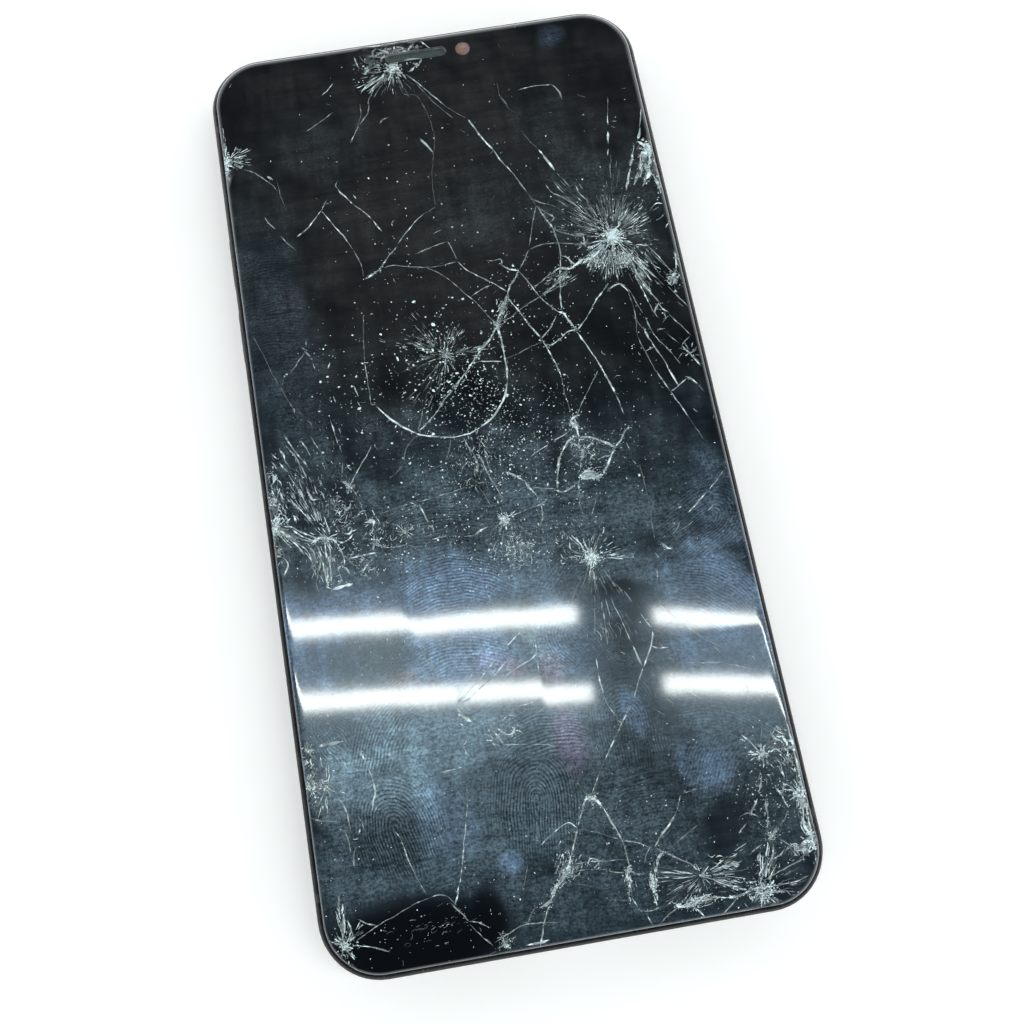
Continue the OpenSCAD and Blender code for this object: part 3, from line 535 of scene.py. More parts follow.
def makeFrontCamera():
    # a window over the lens: a black rim round a disc painted with the orange-pink reflection of the filter
    # behind it
    r = Recipe("filterReflectionWindow")
    zone = r.mark("zone")
    cloud = r.noise(900, 4, 0.6)
    # painted reflection: the orange-pink the filter shows under the overhead light
    paintedFilterReflection = r.blend(r.spread(cloud, 0.35, 0.65), (0.17, 0.100, 0.082), (0.30, 0.20, 0.17))
    tone = r.blend(zone, (0.010, 0.010, 0.011), paintedFilterReflection)
    r.set(Base_Color=tone, Roughness=0.30, Coat_Weight=0.6, Coat_Roughness=0.08).bump(cloud, 0.1, 0.00001)
    top = glass["top"]
    profile = [(1.42, top - 0.02, 0), (1.34, top + 0.003, 0), (1.24, top + 0.004, 0.7),
               (1.1, top + 0.004, 0.85), (0.6, top + 0.005, 1), (0.001, top + 0.005, 1)]
    turnedDisc("frontCameraWindow", frontCamera["x"], frontCamera["y"], profile, r.material)


makeGlass()
makeEarpiece()
makeFrontCamera()


# fractures

# Each fracture: how bright it is, its width, its route as x and y by turns and, where it is
# crushed, the grains of glass dust per mm
fractures = [
    # from the blow at the top, down and across
    (0.4, 0.16, [-3, 72, -1, 69.6, 0.5, 67.5, 3, 64.3]), (0.14, 0.1, [3, 64.3, 5, 62.3, 6.5, 61]),
    (0.6, 0.26, [6.5, 61, 7.6, 58.5, 8.5, 56.5, 10, 54]),
    (0.55, 0.26, [10, 54, 10.8, 52, 12.5, 49, 13.6, 46.5, 14.4, 44.6]),
    (0.22, 0.12, [14.4, 44.6, 15, 43.3, 15.5, 42]), (0.1, 0.16, [-2, 71, -0.5, 68, 1, 65.5, 4, 61.5]),
    (0.3, 0.16, [-6, 72.6, -8.5, 70.8, -10.4, 68, -11, 65.4, -13, 63], 1),
    (0.32, 0.18, [-13, 63, -13.8, 61.8, -15, 59.8], 1), (0.16, 0.12, [-12.2, 67.5, -12.3, 65, -13.3, 63]),
    (0.14, 0.1, [-4.6, 70, -4, 68, -2, 67.4, -1.2, 66]), (0.6, 0.38, [-2.6, 58.6, -1.8, 57.3, -0.7, 55.4]),
    (0.09, 0.1, [-1.2, 66, -0.3, 62.5, 0, 58, -1, 54, -1.8, 50, -2, 45]),
    (0.35, 0.14, [-1, 37.8, -0.4, 36, 0, 34]), (0.3, 0.14, [-16.3, 72.5, -17.4, 71.3, -18.8, 70.2]),
    (0.34, 0.12, [-17.2, 66.5, -20, 64.8, -22.7, 63.3]), (0.25, 0.2, [-9.3, 62.7, -8.4, 63.5, -7.4, 63.7]),
    (0.2, 0.12, [-18.2, 68.4, -17.3, 67.9]), (0.36, 0.15, [16.3, 65.3, 19, 65.6, 21, 65.5, 22.6, 65.4]),
    (0.5, 0.22, [22.6, 65.4, 23.3, 64.6, 23.8, 63.4, 24, 62]),
    (0.12, 0.1, [13, 67.5, 13, 65, 13.6, 63, 14.6, 61.2]),
    (0.22, 0.18, [13.2, 64.6, 13.7, 63.2, 14.1, 62.4]), (0.12, 0.12, [15.5, 57, 16.6, 54.8, 17.8, 53]),
    (0.58, 0.34, [17.9, 52.8, 18.8, 51, 19.5, 49.4, 20, 48.2]), (0.2, 0.14, [26.8, 62.6, 28.3, 61.7]),
    # beside the right-hand blow
    (0.16, 0.12, [32.2, 61.2, 31.7, 58.8, 31.3, 57.2]), (0.5, 0.24, [31.4, 57.5, 31.1, 55.5]),
    (0.75, 0.34, [30.8, 54.2, 30.4, 51.9]), (0.6, 0.3, [30.2, 50.8, 29.8, 49.4]),
    (0.4, 0.22, [31.9, 56.2, 32.8, 56]), (0.4, 0.24, [31.6, 55.2, 32.3, 54.7]),
    (0.3, 0.14, [17.8, 45.9, 18.6, 44.2, 19.8, 43.2, 22.8, 40.4]),
    (0.45, 0.2, [19.4, 46.2, 20, 44.6, 20.8, 43.5]), (0.34, 0.16, [20.8, 46.8, 22, 44.5]),
    (0.45, 0.22, [23, 44.8, 23.5, 43, 24.6, 41.3]), (0.5, 0.26, [34.4, 49.4, 33.8, 47.6, 33.4, 46.6]),
    (0.4, 0.24, [33, 45.6, 32.2, 43.8, 31.6, 42]), (0.14, 0.1, [15, 43.4, 16.8, 42.2, 19, 41, 20.2, 39.4]),
    # left shoulder
    (0.3, 0.12, [-34.5, 57.8, -32.8, 56.8, -31, 55, -29.8, 53.8, -29.2, 52.6]),
    (0.55, 0.42, [-30.6, 55.7, -29.6, 54.8]), (0.14, 0.1, [-29, 54.5, -28.6, 51, -28, 48.3]),
    (0.5, 0.17, [-27, 43, -24.6, 44.6, -22, 47.4]), (0.4, 0.16, [-22, 47.2, -21.2, 48.6, -20.6, 49.4]),
    (0.35, 0.14, [-21.2, 48.6, -20.3, 48.4]),
    (0.52, 0.16, [-22, 47.4, -20.2, 44.2, -18.9, 42, -17.6, 39.2]),
    (0.22, 0.12, [-17.6, 39.2, -16.8, 37, -16.5, 35, -16.5, 33.6]),
    (0.45, 0.15, [-32, 47.8, -31.2, 46.2, -30.4, 45.2]), (0.5, 0.16, [-29.7, 43.8, -28.6, 42, -27.4, 40.6]),
    (0.4, 0.2, [-18.4, 52.6, -18.8, 51.6, -18, 50.2]), (0.6, 0.24, [-18.5, 50.8, -17.2, 49, -16.3, 47.7]),
    (0.45, 0.14, [-16.3, 47.7, -14.6, 45.8, -13.4, 44.2]), (0.62, 0.2, [-13.3, 44, -12.6, 42.6, -12, 41.6]),
    (0.85, 0.5, [-16, 49.5, -15.6, 48.6]),
    # strung out below the right-hand blow
    (0.22, 0.12, [27.5, 24.4, 28.3, 23.3, 29, 21, 29.7, 18.8]),
    (0.2, 0.12, [28, 18.6, 28.7, 17, 29.3, 15.8]), (0.55, 0.18, [29.3, 15.8, 29.7, 14.3, 30.4, 13]),
    (0.45, 0.16, [31.6, 9.6, 32, 8, 32.3, 7.2]), (0.25, 0.14, [32.3, 7.2, 32.8, 5.6]),
    (0.7, 0.24, [30.2, 24.6, 30.7, 22.8, 31.1, 20.6]), (0.4, 0.18, [31.1, 20.6, 31.7, 18.6, 32.3, 17.3]),
    (0.6, 0.22, [30.6, 25.2, 31.4, 23.3, 32.3, 21.5, 32.9, 20.3]),
    (0.22, 0.12, [33, 28.2, 34, 25.6, 34.8, 24.4]), (0.18, 0.12, [33, 24.5, 34, 22.9]),
    (0.16, 0.12, [32.6, 15, 33.8, 13.4, 34.8, 12.2]), (0.6, 0.2, [28.7, 11.9, 29.6, 12.2, 30.5, 12.6]),
    (0.6, 0.2, [31.4, 15.1, 31.9, 15.5, 32.9, 15.4]), (0.3, 0.14, [32.7, 16.5, 33.6, 17.4, 34.3, 17.6]),
    (0.2, 0.12, [33.9, 9.6, 34.6, 10.4, 35.2, 10.8]), (0.3, 0.14, [35, 11.9, 35.8, 12.7, 36.8, 13.4]),
    (0.7, 0.34, [31.2, 28.2, 31.8, 27]), (0.55, 0.28, [33.2, 24.2, 33.8, 23.6]),
    # the long arc and what meets it
    (0.16, 0.12, [-1.9, 44.8, -3.2, 44.2, -4.4, 43.7]),
    (0.42, 0.16, [-4.2, 43.8, -6.4, 42.2, -8.2, 40.4, -9.8, 38.6]),
    (0.6, 0.24, [-9.9, 38.2, -11.2, 37.2, -12.2, 36, -13.4, 34.7], 3),
    (0.75, 0.32, [-13.2, 34.6, -14.6, 33.9, -16.2, 33.1], 4),
    (0.26, 0.14, [-12.8, 34.7, -11, 34.9, -9, 34.3, -6.4, 33.7, -3.4, 33.4, -0.2, 33.7], 1),
    (0.34, 0.12, [-7, 36.3, -4, 37.2, -1.1, 37.8]), (0.26, 0.2, [-3.2, 39.6, -1.6, 40.2]),
    (0.28, 0.13, [-5.6, 33.5, -3.6, 32.2, -2.2, 30.8, -0.4, 28.6, 2, 25.4, 3.6, 22.6, 4.7, 21]),
    (0.44, 0.16, [0, 33.8, 1.4, 31.8, 3.4, 30.2, 5.4, 28.6, 7.6, 26.6]),
    (0.3, 0.14, [1.2, 26.8, 3.2, 27.8, 5.4, 28.4]),
    (0.7, 0.26, [7.4, 25.6, 8.8, 22.9, 10.2, 20, 11.6, 17.4], 2),
    (0.6, 0.24, [11.8, 17, 12.6, 14.6, 13.4, 12, 13.8, 10], 2), (0.1, 0.12, [13.8, 10, 13.8, 7, 14.2, 3]),
    (0.3, 0.2, [5, 33, 6.2, 32.8, 7.4, 32.9, 7.6, 32.2, 7, 32]),
    (0.55, 0.24, [7.2, 32, 8.4, 30.9, 10.2, 30.2], 2),
    (0.4, 0.17, [10.3, 30, 11.6, 27.6, 12.8, 25, 14.2, 23, 15.4, 21.6], 1),
    (0.6, 0.34, [15.3, 21.6, 16.4, 21, 17, 19.4, 18, 17.6], 5),
    (0.62, 0.25, [18, 17.3, 19.2, 14.4, 20.4, 11.4, 21.2, 8.8]),
    (0.62, 0.3, [21, 9.4, 21.6, 7.4, 22.2, 5.2]), (0.3, 0.22, [22.2, 5.2, 22.6, 3.2, 22.8, 1.6]),
    (0.3, 0.14, [15.5, 42, 14.8, 40.2, 13.6, 36.6, 12.8, 34.4]),
    (0.36, 0.2, [12.6, 33.8, 11.4, 31.8, 10.4, 30.4], 2),
    (0.34, 0.26, [15.6, 41.8, 16.4, 39.8, 17.4, 37.4, 17.8, 35.2], 3),
    (0.3, 0.18, [17.8, 35.2, 18, 33, 17.6, 30.4, 17, 28], 1),
    (0.36, 0.22, [17.2, 29, 16.8, 26.4, 16.4, 24, 16.2, 21.6], 2),
    (0.3, 0.2, [17.6, 37, 18.8, 36.2, 20.2, 35.4], 1),
    (0.24, 0.14, [12.6, 33.8, 15, 34.4, 18, 34.2, 21.4, 33.4, 24.5, 33.2]),
    (0.5, 0.28, [4.6, 21, 5.4, 22.4, 6.8, 24.6, 7.4, 26], 5),
    (0.4, 0.26, [7.4, 26, 8.2, 27.6, 9.4, 29, 10.2, 30.2], 4),
    (0.34, 0.2, [4.8, 21.3, 7, 21.8, 8.4, 22.6], 2),
    (0.22, 0.14, [8.4, 22.6, 10.6, 23.8, 13, 24.8, 16.6, 26.2, 20.2, 27.8]),
    (0.3, 0.34, [13.6, 25.2, 15.4, 26.2, 17.4, 27.4], 6),
    (0.3, 0.15, [12, 26.6, 13.6, 27.4, 15.6, 28.8], 1),
    (0.8, 0.34, [15.8, 28.8, 17.2, 29.5, 18.8, 29.1, 20.2, 29.7, 21.8, 30.6], 6),
    (0.6, 0.24, [17.9, 31.8, 18.9, 31.3, 19.5, 30.3, 20.2, 29.7], 2),
    (0.85, 0.4, [21.6, 30.4, 23.2, 30.4, 24.8, 31.6, 25.8, 32.4], 8),
    (0.42, 0.2, [18, 17.5, 19.6, 19.2, 21, 20.8, 22, 22.2]), (0.6, 0.3, [21.6, 21.6, 22.6, 22.8, 23.8, 24]),
    (0.34, 0.16, [23.6, 23.8, 25, 25.2], 1),
    (0.34, 0.18, [24.6, 23.8, 25.6, 24.6, 27, 24.8, 27.8, 24.2], 2),
    (0.4, 0.2, [18, 17.8, 16.4, 17.6, 15, 16.6, 13.4, 15.8, 12.4, 15.9], 3),
    (0.16, 0.14, [12, 16.6, 9.8, 16, 7.6, 15.2, 5.2, 14.6], 1),
    (0.4, 0.2, [11.8, 17.2, 13.2, 18.4, 14.2, 19.6, 15.2, 21], 1),
    (0.9, 0.24, [0.2, 14.9, 2, 14.6, 4.4, 14.2]), (0.55, 0.36, [4.6, 21, 5, 18.6, 5, 16], 5),
    (0.6, 0.28, [5, 16, 5, 13.4, 4.7, 10.6], 1),
    (0.85, 0.26, [4.7, 10.6, 3.8, 8.2, 2.4, 6.2, 0.8, 4.4, -1.2, 3.3]),
    (0.8, 0.24, [-1.2, 3.3, -3.2, 2.5, -5.6, 2.3, -8.2, 2.7]),
    (0.9, 0.28, [-8.2, 2.7, -10.6, 3.4, -12.6, 4.4, -14.8, 6.2, -16.6, 8.2, -17.8, 9.8]),
    (0.3, 0.16, [-17.8, 10.2, -18.6, 10.4, -18.6, 13, -18.6, 17.8], 1),
    (0.12, 0.12, [-18.6, 17.8, -18.3, 21, -17.8, 25]), (0.3, 0.18, [-17.8, 24.6, -17.6, 26.6]),
    (0.36, 0.34, [-18.8, 17.9, -17.9, 17.7]), (0.62, 0.26, [4.6, 20.6, 3, 18.4, 1.6, 17.2, 0.2, 15.8], 12),
    (0.55, 0.24, [0.2, 15.8, -1.4, 13.8, -3, 12.2, -4.6, 10.6], 9),
    (0.42, 0.19, [-4.6, 10.6, -6.2, 9.2, -7.6, 7.6, -9.4, 5.8, -11.6, 4.2], 3),
    (0.28, 0.18, [-10.2, 8, -10.8, 6.2, -11.6, 4.4], 2),
    (0.22, 0.14, [-11.8, 3.8, -13.4, 2.4, -14.4, 0.8, -14.6, -0.4]),
    (0.1, 0.12, [-14.6, -0.4, -15.8, -1.8, -17.2, -2.8]), (0.36, 0.18, [-4.4, 2.2, -3.8, 0.4, -3.2, -1], 1),
    (0.3, 0.24, [-3.2, -1, -2.8, -3, -3.2, -4.6], 8),
    (0.34, 0.16, [-2.4, -1, -1.8, -3.2, -1.2, -5.4, -0.4, -7.4, 0.2, -9.6], 4),
    (0.26, 0.14, [-1.2, -0.6, -1.1, -3, -0.9, -5.4], 3),
    (0.2, 0.12, [-3.4, -6.6, -2.4, -8.8, -1.8, -10.6], 2), (0.2, 0.14, [-6.4, 2.2, -7, 0.2, -8, -2], 2),
    (0.1, 0.1, [-5, -1, -9, -2.2, -12, -3]),
    # the three-cornered break right of the middle
    (0.3, 0.14, [20.2, 10, 18.6, 7.8, 17, 5.6, 15.2, 2.9]),
    (0.7, 0.34, [15.4, 2.6, 14.4, 2.4, 13.8, 1.6, 14.6, 0.8, 14.4, -0.6], 5),
    (0.62, 0.34, [14.4, 2.2, 14.6, 0.2, 14.6, -1.4], 4),
    (0.6, 0.3, [14.2, -0.9, 12.8, -1.6, 11.6, -3, 10.6, -4.6, 10.2, -6.4], 4),
    (0.5, 0.24, [10.2, -6, 9.8, -7.6, 9.4, -9.4], 2),
    (0.58, 0.4, [14.6, -1.2, 16.2, -1.4, 17.8, -2.2, 19.4, -3.2, 20.2, -3.9], 6),
    (0.62, 0.36, [20.2, -3.9, 21.4, -2.8, 22.4, -1.4, 23.3, -0.8], 5),
    (0.6, 0.34, [20.2, -4, 19.2, -5.4, 18.4, -6.8, 17.4, -7.8], 5),
    (0.75, 0.42, [17.4, -8.2, 16, -8.6, 14.2, -8.3, 13.4, -7.8], 6),
    (0.6, 0.3, [13.5, -7.7, 14.6, -7.2, 15.8, -6.6], 3),
    (0.56, 0.34, [13.4, -8.2, 13, -9.4, 12.9, -10.8], 4),
    (0.3, 0.2, [12.9, -11, 12.6, -12.6, 12.7, -14.2], 2),
    (0.5, 0.32, [14.9, -3.2, 14.7, -4.4, 14.2, -5.3], 3), (0.36, 0.22, [14.2, -5.6, 13.8, -6.8], 1),
    (0.44, 0.24, [15.2, -3.6, 16.2, -2.8, 17, -2.4], 2),
    (0.6, 0.3, [15.6, -5.4, 16.2, -4.6, 16.9, -4.8], 2),
    (0.48, 0.24, [16.8, -5.8, 17.6, -5.3, 18.6, -5], 2), (0.62, 0.2, [10.4, -1, 11.8, -0.6, 13.4, 0.2]),
    (0.62, 0.16, [6.2, -3.1, 7.8, -2.3, 9.4, -1.6]), (0.55, 0.26, [1.4, -5, 2.8, -5.8, 4.4, -7.2], 2),
    (0.6, 0.28, [4.3, -7, 5, -8.4, 6, -10], 2),
    (0.3, 0.18, [6, -10, 6.4, -11.6, 6.2, -13.6, 5.4, -15.2], 1),
    (0.5, 0.14, [5.2, -8.3, 7.2, -8.8, 9.2, -9.3]),
    (0.55, 0.26, [9, -9.4, 10, -9.9, 11.2, -9.8, 12.4, -9.1], 3),
    (0.3, 0.16, [4.4, -11.8, 6.2, -11.4, 7.6, -10.8], 1), (0.24, 0.14, [2, -14, 3.4, -16.2, 5.6, -17]),
    (0.2, 0.16, [15.6, -11, 15, -13, 14, -14.8], 1), (0.34, 0.22, [22.2, -3.4, 22.6, -5]),
    (0.5, 0.3, [22.6, -6.6, 23.1, -7.4]),
    # right flank
    (0.16, 0.14, [28, 23.5, 28.4, 19, 28, 15, 28.6, 12]),
    (0.3, 0.16, [28.6, 12.4, 29.2, 9.8, 30.2, 7, 31.4, 4.2]),
    (0.42, 0.18, [31.4, 4.2, 32.4, 1.6, 33.4, -0.8]), (0.12, 0.12, [33.4, -0.8, 34.2, -2.8, 35, -5]),
    (0.34, 0.18, [31.4, 4.1, 32.8, 4.8, 34.6, 6]), (0.55, 0.26, [34.4, 6.4, 35.4, 5.6, 36.2, 4.6], 1),
    (0.2, 0.14, [36.2, 4.6, 37, 3.2]), (0.55, 0.26, [29.2, 16.4, 29.8, 14.2], 2),
    (0.5, 0.22, [30, 13.6, 31, 11, 31.9, 8.6]), (0.6, 0.28, [31.8, 8.2, 32.3, 6.8, 32.9, 5], 1),
    (0.42, 0.2, [30, 18, 30.4, 16, 31.2, 13.8, 32.4, 12, 33.2, 10.6], 1),
    (0.34, 0.18, [33.2, 10.6, 34, 8.8]), (0.24, 0.14, [28.9, 11.9, 30.2, 12.4]),
    (0.55, 0.26, [32.8, 20.2, 32, 19.2, 31.7, 18.2], 2), (0.55, 0.26, [32.8, 20, 33.4, 18.8, 34, 18.4], 2),
    (0.26, 0.14, [34, 18, 35.4, 15.8, 37, 13.4]), (0.3, 0.14, [35, 23, 36.4, 20.8, 37.6, 18.8]),
    (0.6, 0.4, [35.4, 23.2, 36.2, 24.6, 37, 25.6], 6), (0.5, 0.3, [37, 25.6, 37.4, 27.4, 37.6, 29.4], 3),
    (0.24, 0.14, [33.4, 30, 35, 27.4, 36.6, 25.2]), (0.45, 0.28, [35.6, 11.2, 36.6, 9.2, 37.4, 7.8], 2),
    (0.4, 0.22, [35, 12, 36, 10.4, 37.4, 10.8], 1), (0.26, 0.14, [32.8, 17, 33.8, 17.6]),
    (0.5, 0.18, [37, -10.8, 35.6, -12.2, 34, -13.6]), (0.55, 0.2, [33.4, -14, 31.6, -15.4, 29.8, -16.8]),
    (0.3, 0.22, [28, -18.2, 27.2, -19.4, 26.4, -20]), (0.24, 0.16, [27.6, -19.6, 29, -19, 30.6, -18.2]),
    (0.28, 0.14, [32.8, -17.1, 35.2, -15.8]), (0.6, 0.42, [24.3, -20.9, 25, -21.9, 26, -22.4], 2),
    (0.55, 0.36, [23, -22.4, 23.4, -23.5], 1), (0.26, 0.18, [22.8, -25, 22.5, -27]),
    (0.12, 0.12, [23.6, -7.5, 23.8, -12, 23.6, -17, 23.4, -20.5]),
    # left flank
    (0.14, 0.12, [-36.8, 26, -35.6, 22.6, -34.6, 19.4, -33.4, 16]),
    (0.28, 0.14, [-33.4, 16, -32.2, 13, -31.5, 11.4]), (0.6, 0.34, [-31.5, 11.8, -31.6, 10.8], 2),
    (0.16, 0.14, [-33.2, 15.8, -32.4, 17.4]), (0.3, 0.14, [-28, 21.8, -30, 19.6, -31.4, 18]),
    (0.34, 0.3, [-28.4, 21.6, -27.4, 20.4], 2), (0.6, 0.3, [-28.8, 22.4, -28, 21.8], 1),
    (0.26, 0.16, [-27.8, 23.8, -28, 22.4]), (0.6, 0.3, [-27.3, 19.4, -27.1, 18.2]),
    (0.8, 0.52, [-24.4, 18.9, -24.9, 17.9]), (0.6, 0.3, [-21, 14, -20.5, 12]),
    (0.5, 0.24, [-20.9, 11.2, -20.5, 10.4]), (0.38, 0.16, [-25.8, 8.8, -25.4, 6.4, -25.1, 4.4]),
    (0.5, 0.22, [-25, 4.4, -24.7, 2.8], 1), (0.24, 0.14, [-24.8, 1, -25.2, -0.8, -25.5, -2]),
    (0.44, 0.2, [-19.6, 3.2, -20.8, 1.4, -22.6, -0.8, -23.8, -2.6]),
    (0.6, 0.36, [-25.4, -2, -24.4, -3, -23.8, -3.8], 5),
    (0.3, 0.18, [-23.8, -3.8, -23.2, -5, -22.9, -6.4], 1),
    (0.4, 0.18, [-22.9, -6.6, -22.4, -8.2, -22, -9.6], 1),
    (0.65, 0.4, [-22.4, -9.6, -21.2, -9.6, -21.4, -10.6], 8),
    (0.5, 0.3, [-21.4, -11.8, -21.8, -13.4, -22, -14.6], 4),
    (0.24, 0.14, [-19.6, -8.6, -17.2, -8.1, -14.8, -7.8]), (0.75, 0.4, [-15, -7.4, -14.2, -7.9], 4),
    (0.4, 0.12, [-13.8, -7.8, -10, -7.3, -7.4, -6.9, -5.2, -6.5]),
    (0.34, 0.14, [-3.4, -6.2, -1.4, -6.1], 2), (0.5, 0.24, [-13.4, -8.2, -12.9, -9.8, -12.4, -11.4]),
    (0.34, 0.2, [-12.8, -11.8, -11.8, -12.4, -11.9, -13.6], 2),
    (0.34, 0.18, [-12.4, -14.4, -11, -14.2, -9.8, -14.1], 2), (0.6, 0.22, [-7, -14.7, -5.4, -14.8]),
    (0.6, 0.24, [-5.4, -14.8, -4, -14.1, -2.8, -13.7]),
    (0.36, 0.22, [-21.4, -13.2, -20.2, -14.2, -18.4, -14.5, -16.6, -14.5, -15.2, -15.1], 3),
    (0.9, 0.6, [-29.4, -19.8, -27.6, -19.5, -26, -19.4]),
    (0.5, 0.24, [-29.8, -18.6, -30.2, -19.2, -29.6, -19.7], 1),
    (0.6, 0.26, [-27.2, -16.2, -26.6, -17, -26.2, -18]), (0.5, 0.24, [-28.8, -17.8, -27.8, -17.6], 2),
    (0.5, 0.22, [-26.2, -15.2, -24.4, -15.1, -23, -15, -21.4, -15], 2),
    (0.5, 0.3, [-24.8, -17.6, -23.9, -17.4, -23.2, -16.2], 4), (0.36, 0.22, [-24, -17.8, -23.4, -19], 3),
    # over and between the two bright reflections
    (0.3, 0.12, [-16.9, -31, -16.4, -33.2, -15.4, -35.4, -14.4, -38, -13.9, -39]),
    (0.6, 0.14, [-12, -39.8, -9.2, -36.4]), (0.6, 0.16, [-11.6, -40.2, -8.4, -37.8, -5.4, -35.1]),
    (0.66, 0.18, [-11, -40.8, -7, -38.2, -4, -35.9]), (0.55, 0.16, [-3.6, -33.6, -2, -32.3, -0.6, -31.4]),
    (0.66, 0.18, [-4.6, -38.2, -2.4, -37, -0.2, -36.2, 1.1, -35.4]),
    (0.5, 0.14, [-3.4, -43, -1.2, -42.8, 0.8, -42.2]), (0.4, 0.14, [-2, -45, -0.4, -44.4, 1, -43.8]),
    (0.6, 0.16, [1.4, -32, 1.2, -35, 0.9, -38.4]), (0.7, 0.5, [-13, -42.4, -12, -43.2, -10.8, -44.2]),
    (0.6, 0.4, [-12.8, -44, -11.8, -44.8]), (0.5, 0.26, [-8.7, -45.6, -7.6, -46.4, -6.6, -48.2], 2),
    (0.8, 0.34, [-7.2, -45.6, -6, -46.8, -4.9, -46.9, -4.2, -45.8], 1),
    (0.5, 0.24, [-6, -44.6, -5, -44.1, -4, -44.4], 1), (0.6, 0.16, [-6.6, -48.4, -4.6, -48.6, -2.8, -49]),
    (0.5, 0.15, [-2.2, -49.1, -0.4, -49.4, 1.2, -49.8]),
    (0.34, 0.24, [-13, -47.6, -12.2, -47, -11.4, -46.4], 2), (0.45, 0.24, [-12.8, -47.8, -12.4, -49], 2),
    (0.6, 0.2, [-17, -50.9, -15.2, -50.9, -13.3, -50.6]), (0.42, 0.16, [-24, -50.8, -22.8, -50.6]),
    (0.34, 0.2, [10.3, -37.6, 10.2, -39.6], 1), (0.72, 0.26, [10.1, -39.8, 10.2, -41.6, 10.3, -43.2], 1),
    (0.62, 0.18, [10.3, -43.4, 10.6, -45, 11.5, -46.9]), (0.5, 0.24, [11.6, -47.6, 12.4, -48.2], 2),
    (0.36, 0.16, [11.5, -29.8, 11.2, -32, 10.8, -33.8]), (0.34, 0.16, [12.9, -30.4, 12.7, -33, 12.5, -36]),
    (0.4, 0.16, [13.6, -28.6, 13.8, -31.8]), (0.3, 0.14, [14.5, -28.6, 14.9, -30.4, 15.5, -32.4]),
    (0.4, 0.14, [15.4, -32.2, 15.9, -34.6, 16.3, -36.4]),
    (0.6, 0.26, [16.4, -36.6, 16.8, -38.4, 17.2, -40]),
    (0.34, 0.16, [16.8, -27.8, 17.2, -28.8, 17.7, -29.8]),
    (0.6, 0.2, [18.6, -31.8, 19.2, -33, 19.9, -34.4]),
    (0.62, 0.22, [20, -34.8, 19.6, -36.2, 18.6, -38.2, 17.4, -40.2]),
    (0.48, 0.2, [17.3, -40.2, 16, -42.6, 14.9, -44.6]),
    (0.44, 0.17, [14.2, -45.8, 12.4, -48, 10.4, -50.6, 8.4, -53.4], 1),
    (0.34, 0.14, [8.4, -53.4, 7, -55.4, 5.6, -57.8]), (0.5, 0.16, [19.2, -37.1, 20.2, -37.6, 21.9, -37.8]),
    (0.4, 0.16, [20.2, -34.6, 21.4, -35.4]), (0.3, 0.1, [21.8, -30.8, 24, -33.4, 25.6, -35.2]),
    (0.56, 0.18, [25.2, -34.8, 26.4, -36, 27.8, -37.4]),
    (0.3, 0.16, [28.2, -37.6, 29.6, -38.8, 31.4, -39.9]),
    (0.5, 0.15, [24.5, -40.7, 27.6, -41.2, 29.8, -41.5]),
    (0.4, 0.14, [30.2, -41.8, 32.4, -42.6, 34.4, -43.5]), (0.3, 0.14, [24.6, -41, 25, -42.4]),
    (0.5, 0.14, [23.8, -45.4, 25.6, -46.8]), (0.4, 0.14, [32.8, -45.4, 32.6, -47.2]),
    (0.6, 0.18, [34.9, -47, 34.6, -48.2]), (0.2, 0.12, [17.6, -46.8, 19.2, -48.2]),
    # lower half
    (0.55, 0.2, [-29, -45.4, -28.2, -47, -27.7, -49, -27.3, -50.8], 1),
    (0.62, 0.28, [-27.3, -50.6, -27.3, -52.4, -27.8, -53.6, -28.1, -54.8], 1),
    (0.45, 0.16, [-25.2, -58.4, -24.7, -59.2, -24.2, -60.8]),
    (0.44, 0.15, [-24.2, -60.8, -23.8, -63, -22.8, -66, -21.9, -68.2]),
    (0.24, 0.14, [-13.2, -53.2, -13.5, -55.4, -14.2, -58.6]),
    (0.5, 0.18, [-14.2, -58.4, -15, -61.6, -15.9, -65], 1), (0.42, 0.16, [-15.9, -65, -16.8, -67.8], 1),
    (0.75, 0.3, [-16.9, -67.8, -17.4, -69.2, -17.9, -70.3], 1),
    (0.3, 0.14, [-17.9, -70.2, -18.8, -69, -20, -68.5, -21.4, -68.7]),
    (0.26, 0.12, [-21.4, -68.7, -24, -69.3, -27, -70.4, -30, -71.5, -33.4, -73]),
    (0.42, 0.18, [-32.6, -70, -31.4, -70.8, -30, -71.3]),
    (0.55, 0.2, [-34, -73.5, -32.2, -73.9, -30.4, -74.5, -28.6, -75.3], 1),
    (0.3, 0.2, [-18.4, -70, -17.6, -71.2, -16.8, -72, -16.4, -72.9], 3),
    (0.5, 0.18, [-16.4, -72.9, -14.8, -73.4, -13.2, -74.4], 1),
    (0.26, 0.14, [-16.2, -73.4, -14.8, -75.2, -13.2, -77]), (0.34, 0.18, [-12.4, -75.2, -11, -75.6], 1),
    (0.34, 0.14, [-13, -76.6, -11, -75.8, -8.6, -74.9, -6, -74.9, -3, -75.3]),
    (0.75, 0.3, [-12.6, -77.6, -11.6, -77.2, -10.6, -77.8], 3),
    (0.6, 0.3, [-11.6, -77.4, -11.6, -76.2, -11, -75.6], 2),
    (0.85, 0.34, [-8.4, -77.7, -6.4, -77.7, -4.8, -77.5]),
    (0.6, 0.24, [-6.4, -78.3, -5.9, -77.2, -5.4, -75.6], 1),
    (0.5, 0.22, [-5.4, -75.6, -4.6, -73.8, -3.8, -72.6], 3),
    (0.6, 0.36, [-5.2, -72.8, -3.8, -72.2, -2.6, -70.6, -1.2, -69.4, 0.2, -67.8], 8),
    (0.6, 0.4, [-3.4, -71.4, -1.8, -69.6, -0.6, -68.6, 0.4, -66.8, 0.4, -65.6], 9),
